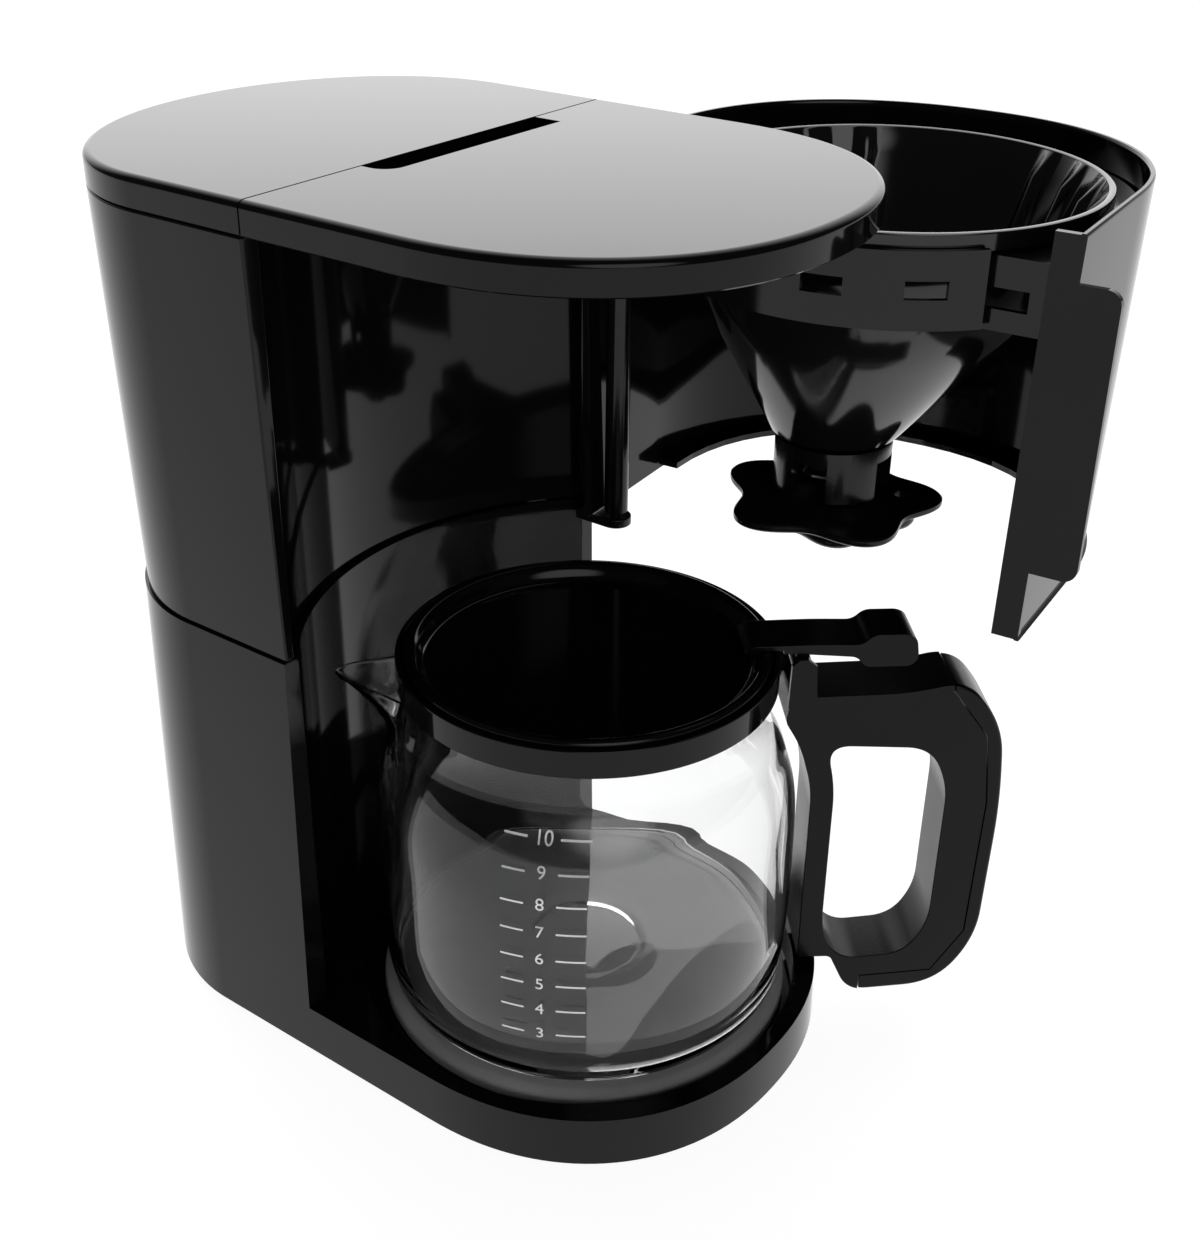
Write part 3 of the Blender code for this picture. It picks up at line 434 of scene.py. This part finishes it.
cover_levels = edge_profile(LID_Z, HEIGHT, TOP_EDGE)
make("top_cover_shell", stacked(lambda inset: front_arc(inset, (COVER_END, COVER_END)), cover_levels),
     "machine", "gloss_black", ["top_cover"], [
    ("cut", prism(front_arc(COVER_WALL, (70, 70)), LID_Z - PAST, HEIGHT - COVER_TOP)),
    ("cut", prism(slot_outline(-36, 49, 46.5, 62), LID_Z + 1, HEIGHT + 5)),
    ("bevel", 0.5, 2, 60),
])
LID_HINGE_Y, LID_HINGE_H = 169.5, 309.0
KNUCKLE_R, KNUCKLE_HOLE_R, KNUCKLE_SEG = 2.6, 1.5, 28


def hinge_bar(x0, x1, radius):
    """Bar on the axis of the tank lid's hinge."""
    return bar([(x, LID_HINGE_Y, LID_HINGE_H) for x in (x0, x1)], radius, KNUCKLE_SEG)


lid_steps = [("cut", prism(rear_outline(COVER_WALL, COLUMN_FRONT - 20), LID_Z - PAST, HEIGHT - COVER_TOP)),
             ("bevel", 0.45, 2, 60)]
for side in (-1, 1):
    x0, x1 = sorted((side * 12.0, side * 31.0))
    lid_steps += [
        ("add", hinge_bar(x0, x1, KNUCKLE_R)),
        ("add", box((x0 + 0.5, LID_HINGE_Y - 1.6, LID_HINGE_H), (x1 - 0.5, LID_HINGE_Y + 1.6, HEIGHT - 2.5))),
        ("cut", hinge_bar(side * 8.0, side * 26.0, KNUCKLE_HOLE_R)),
    ]
make("tank_lid_shell", stacked(lambda inset: rear_outline(inset, COLUMN_FRONT + 0.3), cover_levels),
     "tank_lid", "gloss_black", ["tank_lid"], lid_steps)

# ---- hot plate ----
plate_profile = rounded([
    (0, 21.2), (66, 21.2), (68, 20.2), (74, 20.2), (74, 17.6), (76, 17.6, 0.3),
    (76, 21.6, 1.2), (73, 23.2, 1.0), (62, 23.7, 1.5), (0, 23.7)])
make("hot_plate_disc", turned(plate_profile, JUG_AXIS, ROUND),
     "machine", "coated_steel", ["hot_plate"])

# ---- door ----
DOOR_LOW, DOOR_HIGH = DOOR_Z
DOOR_LEFT = -DOOR_HALF
DOOR_ENDS = (COLUMN_FRONT - 0.6, COLUMN_FRONT - 5.2)
STRIP_Y = (COLUMN_FRONT - 3.2, COLUMN_FRONT - 0.6)
FIN_LOW, FIN_HIGH, FIN_R, FIN_STEPS = 192.0, 290.0, 5.0, 12
FIN_IN, FIN_OUT, FIN_THICK = DOOR_LEFT + 4.2, DOOR_LEFT - 13.0, 2.4


def door_ring(z, grow):
    """The half-round wall at a height; grow thins it towards its edges."""
    base = inset_at(z)
    outer, inner = door_arc(base + grow, DOOR_ENDS), door_arc(base + WALL - grow, DOOR_ENDS)
    return [(x, y, z) for x, y in outer + list(reversed(inner))]


def strip_ring(z):
    """The closing strip along the free edge, at a height."""
    x0, x1 = DOOR_LEFT + inset_at(z) + 0.8, DOOR_LEFT + inset_at(z) + 10.0
    return [(x0, STRIP_Y[0], z), (x1, STRIP_Y[0], z), (x1, STRIP_Y[1], z), (x0, STRIP_Y[1], z)]


door_levels = ((DOOR_LOW, 0.6), (DOOR_LOW + 0.6, 0.1), (DOOR_LOW + 1.4, 0.0), (235, 0.0),
               (DOOR_HIGH - 1.4, 0.0), (DOOR_HIGH - 0.6, 0.15), (DOOR_HIGH, 0.7))
fin = [(FIN_IN, FIN_LOW)]
fin += [(FIN_OUT + FIN_R - FIN_R * math.sin(t), FIN_LOW + FIN_R - FIN_R * math.cos(t))
        for t in spread(0, QUARTER_TURN, FIN_STEPS)]
fin += [(FIN_OUT + FIN_R - FIN_R * math.cos(t), FIN_HIGH - FIN_R + FIN_R * math.sin(t))
        for t in spread(0, QUARTER_TURN, FIN_STEPS)]
fin += [(FIN_IN, FIN_HIGH)]
make("door_outer_shell", shell([door_ring(z, grow) for z, grow in door_levels]),
     "door", "gloss_black", ["door_shell"], [
    ("add", shell([strip_ring(z) for z in (DOOR_LOW + 0.4, DOOR_HIGH - 0.4)])),
    ("add", shell([[(x, y, z) for x, z in fin] for y in (STRIP_Y[1] - FIN_THICK, STRIP_Y[1])])),
    ("bevel", 0.5, 3, 50),
], swing=True)

# ---- collar shelf in the door, with its slotted skirt ----
COLLAR_Z, SKIRT, FUNNEL_RIM_R = 294.0, 24.0, 74.0
RING_DEG = (46, 136)
collar_inset = inset_at(COLLAR_Z - SKIRT) + WALL


def collar_plan(inset, y_end):
    return door_arc(collar_inset + inset, (y_end, y_end))


def ring_sector(r0, r1, deg0, deg1, z0, z1, n=72):
    """Part of a ring about the funnel's axis."""
    angles = [math.radians(deg) for deg in spread(deg0, deg1, n)]
    plan = [(FUNNEL_AXIS[0] + r0 * math.cos(t), FUNNEL_AXIS[1] + r0 * math.sin(t)) for t in angles]
    plan += [(FUNNEL_AXIS[0] + r1 * math.cos(t), FUNNEL_AXIS[1] + r1 * math.sin(t)) for t in reversed(angles)]
    return prism(plan, z0, z1)


collar_steps = [
    ("cut", peg(*FUNNEL_AXIS, FUNNEL_RIM_R - 3.0, COLLAR_Z - 60, COLLAR_Z + PAST, 120)),
    ("cut", prism(collar_plan(3.0, COLUMN_FRONT - 6.2), COLLAR_Z - SKIRT - PAST, COLLAR_Z - 2.6)),
    ("cut", peg(*HINGE, 8.0, COLLAR_Z - 60, COLLAR_Z + PAST)),
]
collar_steps += [("cut", box((x - 8, 40, COLLAR_Z - 17), (x + 8, 60, COLLAR_Z - 10))) for x in (-66.0, -22.0)]
collar_steps += [("add", ring_sector(76.2, 78.4, *RING_DEG, 271.0, 296.5)),
                 ("add", ring_sector(71.0, 78.0, *RING_DEG, 291.4, 293.8))]
collar_steps += [("cut", ring_sector(75.0, 80.0, deg - 5, deg + 5, 281.0, 287.0, 12)) for deg in (122.0, 98.0, 74.0)]
collar_steps.append(("bevel", 0.35, 2, 50))
make("door_collar_shelf", prism(collar_plan(0.5, COLUMN_FRONT - 3.8), COLLAR_Z - SKIRT, COLLAR_Z),
     "door", "inner_black", ["door_collar"], collar_steps, swing=True)

# ---- funnel ----
FUNNEL_TOP, LEAN_HIGH, LEAN_LOW, FUNNEL_SEG = 301.0, 291.0, 205.0, 288
f_outer = [(13.0, 203.0), (24.0, 205.0), (52.0, 246.0), (66.0, 270.0), (70.4, 291.0), (70.4, 294.6),
           (74.7, 294.6), (75.2, 295.1), (75.2, 300.2), (74.9, 300.8), (74.3, FUNNEL_TOP)]
f_inner = [(73.3, FUNNEL_TOP), (72.7, 300.7), (72.4, 300.0), (68.6, 292.0), (64.0, 270.0), (50.0, 247.0),
           (22.5, 207.4), (4.0, 206.0), (4.0, 203.0)]
RIBBED = range(len(f_outer) + 3, len(f_outer) + 6)      # points of the inner wall that carry ribs
RIB_EVERY, RIB_PULL = 12, {0: 3.4, 1: 3.1, 11: 3.1, 2: 1.2, 10: 1.2}


def ribs_and_lean(x, y, z, i, k):
    """Draws ribs out of the inner wall, then leans the cone from its rim towards the valve."""
    t = 2 * math.pi * i / FUNNEL_SEG
    if k in RIBBED and not 250 < math.degrees(t) < 292:
        pull = RIB_PULL.get(i % RIB_EVERY, 0.0)
        x, y = x - pull * math.cos(t), y - pull * math.sin(t)
    lean = max(0.0, min(1.0, (LEAN_HIGH - z) / (LEAN_HIGH - LEAN_LOW)))
    return x + lean * (VALVE_AXIS[0] - FUNNEL_AXIS[0]), y + lean * (VALVE_AXIS[1] - FUNNEL_AXIS[1]), z


make("filter_funnel_cone", turned(f_outer + f_inner, FUNNEL_AXIS, FUNNEL_SEG, ribs_and_lean),
     "filter", "funnel_black", ["filter_funnel"], swing=True, sharp=40)

# ---- drip stop under the funnel ----
FX, FY = VALVE_AXIS


def lobed(radius, depth, lobes, phase, n=160):
    def point(t):
        r = radius + depth * math.cos(lobes * t + phase)
        return FX + r * math.cos(t), FY + r * math.sin(t)
    return [point(t) for t in spread(0, FULL_TURN, n)[:-1]]


plate_levels = [(0.8, 174.6), (0.1, 175.2), (0, 176.1), (0.1, 177.0), (0.8, 177.6)]
make("drip_plate_lobed", stacked(lambda inset: lobed(38 - inset, 5, 5, 0.6), plate_levels),
     "drip_stop", "satin_black", ["drip_stop_plate"], [
    ("add", peg(FX, FY, 5.0, 176.0, 196.0, 64)),
    ("cut", peg(FX - 24, FY - 14, 3.2, 170, 190, 40)),
    ("cut", peg(FX - 18, FY + 20, 2.6, 170, 190, 40)),
], swing=True)
drip_cover_levels = [(3.0, 169.2), (1.0, 169.7), (0.1, 171.0), (0, 173.4), (0.7, 174.3)]
make("drip_cover_lobed", stacked(lambda inset: lobed(29 - inset, 4, 5, 2.0), drip_cover_levels),
     "drip_stop", "satin_black", ["drip_stop_cover"], swing=True, sharp=50)
nozzle_profile = [(0, 163.2), (0.7, 163.3), (1.2, 164.0), (2.4, 166.4), (4.2, 168.9), (0, 168.9)]
for n, (dx, dy) in enumerate(((-9, -6), (10, 6)), 1):
    make("drip_nozzle_tip_%d" % n, turned(nozzle_profile, (FX + dx, FY + dy), 64),
         "drip_stop", "clear_grey", ["drip_nozzle_%d" % n], swing=True, sharp=50)
yoke_profile = [(15.0, 182.6), (22.0, 182.6), (22.0, 202.4), (15.0, 202.4)]
make("valve_yoke_ring", turned(yoke_profile, VALVE_AXIS, 96),
     "filter", "inner_black", ["valve_yoke"], [
    ("cut", box((FX - 40, FY - 7, 177), (FX + 40, FY + 7, 197))),
    ("cut", box((FX - 7, FY - 40, 177), (FX + 7, FY + 40, 197))),
    ("bevel", 0.5, 3, 50),
], swing=True)

# ---- hinge post and its fixed brackets ----
POST_HOLE_R, PIN_R, BRACKET_R, BRACKET_STEPS = 2.4, 2.0, 6, 32
post_profile = [(0, 166.8), (4.0, 166.8), (4.6, 167.4), (4.6, 304.3), (4.0, 304.9), (0, 304.9)]
make("hinge_post_round", turned(post_profile, HINGE, 48),
     "door", "inner_black", ["door_hinge_post"], [
    ("cut", peg(*HINGE, POST_HOLE_R, DOOR_LOW - 5, DOOR_LOW + 10)),
    ("cut", peg(*HINGE, POST_HOLE_R, DOOR_HIGH - 10, DOOR_HIGH + 5)),
], swing=True)


def bracket(name, node_name, z0, z1, pin0, pin1):
    hx, hy = HINGE
    plan = [(hx - BRACKET_R, COLUMN_FRONT - GAP), (hx - BRACKET_R, hy)]
    plan += [(hx - BRACKET_R * math.cos(t), hy - BRACKET_R * math.sin(t))
             for t in spread(0, HALF_TURN, BRACKET_STEPS)[1:-1]]
    plan += [(hx + BRACKET_R, hy), (hx + BRACKET_R, COLUMN_FRONT - GAP)]
    make(name, prism(plan, z0, z1), "machine", "satin_black", [node_name],
         [("bevel", 0.5, 3, 50), ("add", peg(hx, hy, PIN_R, pin0, pin1))])


bracket("bracket_low", "lower_hinge_bracket", 161.8, 165.4, 163.0, 174.0)
bracket("bracket_high", "upper_hinge_bracket", 306.1, 309.3, 298.0, 307.5)

# ---- jug ----
SPOUT_ANGLE = math.radians(HANDLE_DEG + 180)
SPOUT_Z, SPOUT_RISE, SPOUT_WIDTH, SPOUT_REACH = 118, 28.0, 13.0, 24
LIP_Z, LIP_R, LIP_LIFT = 137, 69.0, 3.0


def spout(x, y, z, i, k):
    """Pulls the neck out into a pouring lip opposite the handle and raises its tip."""
    c, s = math.cos(SPOUT_ANGLE), math.sin(SPOUT_ANGLE)
    dx, dy = x - JUG_AXIS[0], y - JUG_AXIS[1]
    along, aside = dx * c + dy * s, -dx * s + dy * c
    if along <= 0 or z < SPOUT_Z:
        return x, y, z
    pull = math.exp(-(aside / SPOUT_WIDTH) ** 2) * min(1.0, (z - SPOUT_Z) / SPOUT_RISE) ** 1.6
    x, y = x + SPOUT_REACH * pull * c, y + SPOUT_REACH * pull * s
    if z <= LIP_Z:
        return x, y, z
    lift = min(1.0, max(0.0, (math.hypot(x - JUG_AXIS[0], y - JUG_AXIS[1]) - LIP_R) / 14.0))
    return x, y, z + LIP_LIFT * lift


g_outer = [(0, 27.5), (20, 26.6), (30, 24.1), (66, 24.05), (71, 26.2), (73.6, 31), (75.4, 52),
           (75.55, 84), (74.5, 104), (70, 120), (64.5, 130), (62.7, 138), (63.2, 146.2)]
g_inner = [(60.9, 146.4), (60.2, 138), (62.0, 130.4), (67.4, 120), (72.0, 104), (73.0, 84),
           (72.8, 52), (70.6, 33), (67.6, 30.6), (30, 29.0), (20, 30.4), (0, 31.2)]
lip = [(63.1, 146.9), (62.0, 147.1), (61.1, 146.9)]
glass_profile = [g_outer[0], (10, 27.3)] + curve_through(g_outer[1:]) + lip
glass_profile += curve_through(g_inner[:-1]) + [(10, 31.0), g_inner[-1]]
make("jug_glass_bowl", turned(glass_profile, JUG_AXIS, ROUND, spout),
     "jug", "glass", ["jug_glass"], sharp=60)

HANDLE_C, HANDLE_S = math.cos(math.radians(HANDLE_DEG)), math.sin(math.radians(HANDLE_DEG))
HANDLE_HALF, CUT_HALF = 12, 30


def in_handle_plane(u, w, z):
    """Point u out along the handle, w to its side and z up."""
    return (JUG_AXIS[0] + HANDLE_C * u - HANDLE_S * w, JUG_AXIS[1] + HANDLE_S * u + HANDLE_C * w, z)


def slab(outline, w0, w1):
    return shell([[in_handle_plane(u, w, z) for u, z in outline] for w in (w0, w1)])


outer_loop = rounded([
    (70, 142, 2), (112, 143, 12), (131, 147.5, 12), (146, 128, 18), (149, 96, 20), (147.5, 34, 20),
    (134, 12.5, 14), (100, 10, 8), (92.2, 27.2, 2), (79.6, 27.2, 2), (79.6, 40, 2), (79.6, 104, 8),
    (74.4, 122, 6), (68.6, 132, 2)], n=10)
inner_loop = rounded([
    (84, 122, 9), (121, 120, 10), (128.5, 104, 10), (128, 42, 10), (120, 28, 9), (98, 26, 8),
    (90, 33, 8), (88, 44, 8), (88, 104, 8)], n=10)
parting = [(126.0, 165), (126.6, 142.8), (140.3, 124.2), (143.3, 96), (141.8, 38), (131.0, 19.8),
           (104.0, 17.8), (104.0, -5)]
cover_side = [(126.5, 165), (127.1, 143.1), (140.8, 124.4), (143.8, 96), (142.3, 37.8), (131.2, 19.3),
              (104.5, 17.3), (104.5, -5)]
keep_off = [(55, 10), (76.6, 10), (76.6, 101), (75.4, 105), (71.4, 121), (66.9, 130), (66.9, 160), (55, 160)]
ear = [(69.0, 138), (79.0, 138), (78.0, 154.5), (75.0, 157.0), (72.0, 157.0), (69.4, 154.5)]
handle_steps = [
    ("cut", slab(inner_loop, -CUT_HALF, CUT_HALF)),
    ("bevel", 2.4, 5, 45),
    ("cut", slab(parting + [(175, -5), (175, 165)], -CUT_HALF, CUT_HALF)),
    ("cut", turned(keep_off, JUG_AXIS, ROUND)),
]
handle_steps += [("add", slab(ear, *sorted((side * 10.1, side * 12.0)))) for side in (-1, 1)]
handle_steps.append(("bevel", 0.35, 2, 55))
make("jug_handle_inner", slab(outer_loop, -HANDLE_HALF, HANDLE_HALF),
     "jug", "handle_black", ["jug_handle"], handle_steps)
make("jug_handle_outer", slab(outer_loop, -HANDLE_HALF, HANDLE_HALF),
     "jug", "handle_black", ["jug_handle_cover"], [
    ("bevel", 2.4, 5, 45),
    ("cut", slab(cover_side + [(60, -5), (60, 165)], -CUT_HALF, CUT_HALF)),
    ("bevel", 0.35, 2, 55),
])
neck_profile = rounded([
    (61.5, 147.4), (66.4, 147.4, 0.5), (66.4, 157.6, 0.6), (64.5, 157.6, 0.5), (64.5, 148.8), (61.5, 148.8)])
make("jug_neck_collar", turned(neck_profile, JUG_AXIS, ROUND),
     "jug", "gloss_black", ["jug_collar"], sharp=50)

# ---- jug lid ----
LID_PIN_U, LID_PIN_Z, LID_PIN_SEG = 73.5, 153.2, 32
LEVER_HALF = 9.5
lid_profile = rounded([
    (0, 150.2), (58, 150.2), (60, 149.1), (63.5, 149.1, 0.4), (63.5, 158.2, 0.8), (62.5, 159.2, 0.6),
    (60.5, 159.2, 0.9), (58.8, 157.6, 1.2), (56.5, 153.6, 2.6), (0, 152.4)])
make("jug_lid_dish", turned(lid_profile, JUG_AXIS, ROUND), "jug_lid", "gloss_black", ["jug_lid"])
lever_outline = rounded([
    (52, 158.0, 2), (70, 158.2, 3), (92, 156.4, 2), (95, 152.4, 2), (111, 152.4, 2.5), (113.5, 155.4, 2),
    (112.4, 163.0, 2.5), (109, 165.0, 3), (97, 165.0, 3), (93.4, 161.2, 3), (78, 161.6, 6), (56, 161.2, 2)], n=8)
lid_clearance = [(0, 130), (67.2, 130), (67.2, 159.5), (60.0, 159.8), (57.6, 158.2), (55.4, 155), (0, 155)]


def lid_pin_bar(half, radius):
    """Bar on the axis of the jug lid's hinge."""
    return bar([in_handle_plane(LID_PIN_U, w, LID_PIN_Z) for w in (-half, half)], radius, LID_PIN_SEG)


make("jug_lid_thumb_lever", slab(lever_outline, -LEVER_HALF, LEVER_HALF),
     "jug_lid", "handle_black", ["jug_lid_lever"], [
    ("bevel", 1.6, 4, 45),
    ("cut", turned(lid_clearance, JUG_AXIS, ROUND)),
    ("add", lid_pin_bar(9.0, 3.5)),
    ("add", slab([(71.2, 155.2), (75.8, 155.2), (75.8, 160), (71.2, 160)], -8.3, 8.3)),
    ("cut", lid_pin_bar(20, 1.9)),
])

# ---- cup scale printed on the glass ----
SCALE_DEG, SCALE_TOP, SCALE_STEP = -155.0, 124.5, 10.75
MARKS, TOP_CUPS = 8, 10
MARK_HALF, MARK_SPANS, NUMBER_SIZE = 0.35, ((-13.5, -5.5), (5.5, 15.5)), 6.4
FILM_LOW, FILM_HIGH = 0.06, 0.22


def glass_radius(z):
    pts = [(26.2, 71), (31, 73.6), (52, 75.4), (84, 75.6), (104, 74.6), (120, 70), (130, 64.4)]
    for (z0, r0), (z1, r1) in zip(pts, pts[1:]):
        if z0 <= z <= z1:
            return r0 + (r1 - r0) * (z - z0) / (z1 - z0)
    return pts[-1][1]


def wrap_print(name, flat):
    """Lays a flat mesh of (sideways, up) millimetres on the outside of the glass as a thin film."""
    bm = bmesh.new()
    bm.from_mesh(flat)
    bmesh.ops.triangulate(bm, faces=bm.faces)
    bmesh.ops.subdivide_edges(bm, edges=[e for e in bm.edges if e.calc_length() > 3], cuts=2)
    made = bmesh.ops.extrude_face_region(bm, geom=list(bm.faces))
    lifted = {v for v in made["geom"] if isinstance(v, bmesh.types.BMVert)}
    for v in bm.verts:
        x, z = v.co.x, v.co.y
        r = glass_radius(z) + (FILM_HIGH if v in lifted else FILM_LOW)
        t = math.radians(SCALE_DEG) + x / r
        v.co = Vector((JUG_AXIS[0] + r * math.cos(t), JUG_AXIS[1] + r * math.sin(t), z)) * MM
    bmesh.ops.recalc_face_normals(bm, faces=bm.faces)
    make(name, bm, "jug", "print")


flat = bpy.data.meshes.new("flat_scale")
bm = bmesh.new()
for k in range(MARKS):
    z = SCALE_TOP - k * SCALE_STEP
    for x0, x1 in MARK_SPANS:
        corners = ((x0, z - MARK_HALF), (x1, z - MARK_HALF), (x1, z + MARK_HALF), (x0, z + MARK_HALF))
        bm.faces.new([bm.verts.new((x, up, 0)) for x, up in corners])
bm.to_mesh(flat)
bm.free()
wrap_print("cup_scale_marks", flat)
for k in range(MARKS):
    words = bpy.data.curves.new("cup_number", "FONT")
    words.body = str(TOP_CUPS - k)
    words.size = NUMBER_SIZE
    words.align_x, words.align_y = "CENTER", "CENTER"
    holder = bpy.data.objects.new("cup_number", words)
    bpy.context.scene.collection.objects.link(holder)
    bpy.context.view_layer.update()
    glyph = bpy.data.meshes.new_from_object(holder.evaluated_get(bpy.context.evaluated_depsgraph_get()))
    bpy.data.objects.remove(holder, do_unlink=True)
    for v in glyph.vertices:
        v.co.y += SCALE_TOP - k * SCALE_STEP
    wrap_print("cup_number_%d" % (TOP_CUPS - k), glyph)

# ---- flat shading of the CAD nodes that stay ----
for obj in frame["nodes"].values():
    if not obj.hide_render:
        for poly in obj.data.polygons:
            poly.use_smooth = False

# ---- floor, light and camera ----
FLOOR = 40       # metres from the middle to each edge
floor_mat = bpy.data.materials.new("pale_floor")
floor_mat.use_nodes = True
floor_shader = floor_mat.node_tree.nodes["Principled BSDF"]
for key, value in (("Base Color", (0.22, 0.22, 0.22, 1)), ("Roughness", 0.9), ("Specular IOR Level", 0.1),
                   ("Emission Color", (1, 1, 1, 1)), ("Emission Strength", 0.93)):
    floor_shader.inputs[key].default_value = value
mesh = bpy.data.meshes.new("floor")
mesh.from_pydata([(-FLOOR, -FLOOR, 0), (FLOOR, -FLOOR, 0), (FLOOR, FLOOR, 0), (-FLOOR, FLOOR, 0)],
                 [], [(0, 1, 2, 3)])
obj = bpy.data.objects.new("floor", mesh)
bpy.context.scene.collection.objects.link(obj)
mesh.materials.append(floor_mat)

world = bpy.data.worlds.new("studio")
bpy.context.scene.world = world
world.use_nodes = True
sky = world.node_tree
background = sky.nodes["Background"]
direction = node(sky, "ShaderNodeTexCoord")
BACK_YAW, BACK_TILT = 0.64772, math.radians(33)
SIDE_LIGHT = (-0.56, -0.70, 0.44)


def soft_light(towards, *span):
    """Brightness around one direction of the sky; span is from min, from max, to min, to max."""
    facing = node(sky, "ShaderNodeVectorMath", operation="DOT_PRODUCT")
    sky.links.new(direction.outputs["Generated"], facing.inputs[0])
    facing.inputs[1].default_value = towards
    glow = node(sky, "ShaderNodeMapRange", interpolation_type="SMOOTHSTEP")
    for key, value in zip(("From Min", "From Max", "To Min", "To Max"), span):
        glow.inputs[key].default_value = value
    sky.links.new(facing.outputs["Value"], glow.inputs["Value"])
    return glow.outputs["Result"]


behind = (math.cos(BACK_YAW) * math.cos(BACK_TILT), math.sin(BACK_YAW) * math.cos(BACK_TILT), math.sin(BACK_TILT))
total = node(sky, "ShaderNodeMath", operation="ADD")
sky.links.new(soft_light(behind, 0.45, 1.02, 0.05, 2.4), total.inputs[0])
sky.links.new(soft_light(SIDE_LIGHT, 0.9, 0.97, 0.0, 2.0), total.inputs[1])
background.inputs["Color"].default_value = (1, 1, 1, 1)
sky.links.new(total.outputs["Value"], background.inputs["Strength"])

CAM_YAW, CAM_PITCH, CAM_ROLL = 0.64772, -0.50527, 0.00376
CAM_AT = (-408.45, -303.09, 446.63)
CAM_LENS, CAM_SHIFT = 49.1470, (0.02665, 0.00337)

forward = Vector((math.cos(CAM_PITCH) * math.cos(CAM_YAW),
                  math.cos(CAM_PITCH) * math.sin(CAM_YAW), math.sin(CAM_PITCH)))
right = Vector((math.sin(CAM_YAW), -math.cos(CAM_YAW), 0))
up = right.cross(forward)
right, up = (right * math.cos(CAM_ROLL) + up * math.sin(CAM_ROLL),
             up * math.cos(CAM_ROLL) - right * math.sin(CAM_ROLL))
camera = bpy.data.cameras.new("camera")
camera.sensor_width = 36.0
camera.lens = CAM_LENS
camera.shift_x, camera.shift_y = CAM_SHIFT
camera.clip_start = 0.02
eye = bpy.data.objects.new("camera", camera)
bpy.context.scene.collection.objects.link(eye)
spot = Vector(CAM_AT) * MM + SHIFT
eye.matrix_world = Matrix(((right.x, up.x, -forward.x, spot.x), (right.y, up.y, -forward.y, spot.y),
                           (right.z, up.z, -forward.z, spot.z), (0, 0, 0, 1)))
bpy.context.scene.camera = eye
bpy.context.scene.view_settings.view_transform = "Standard"
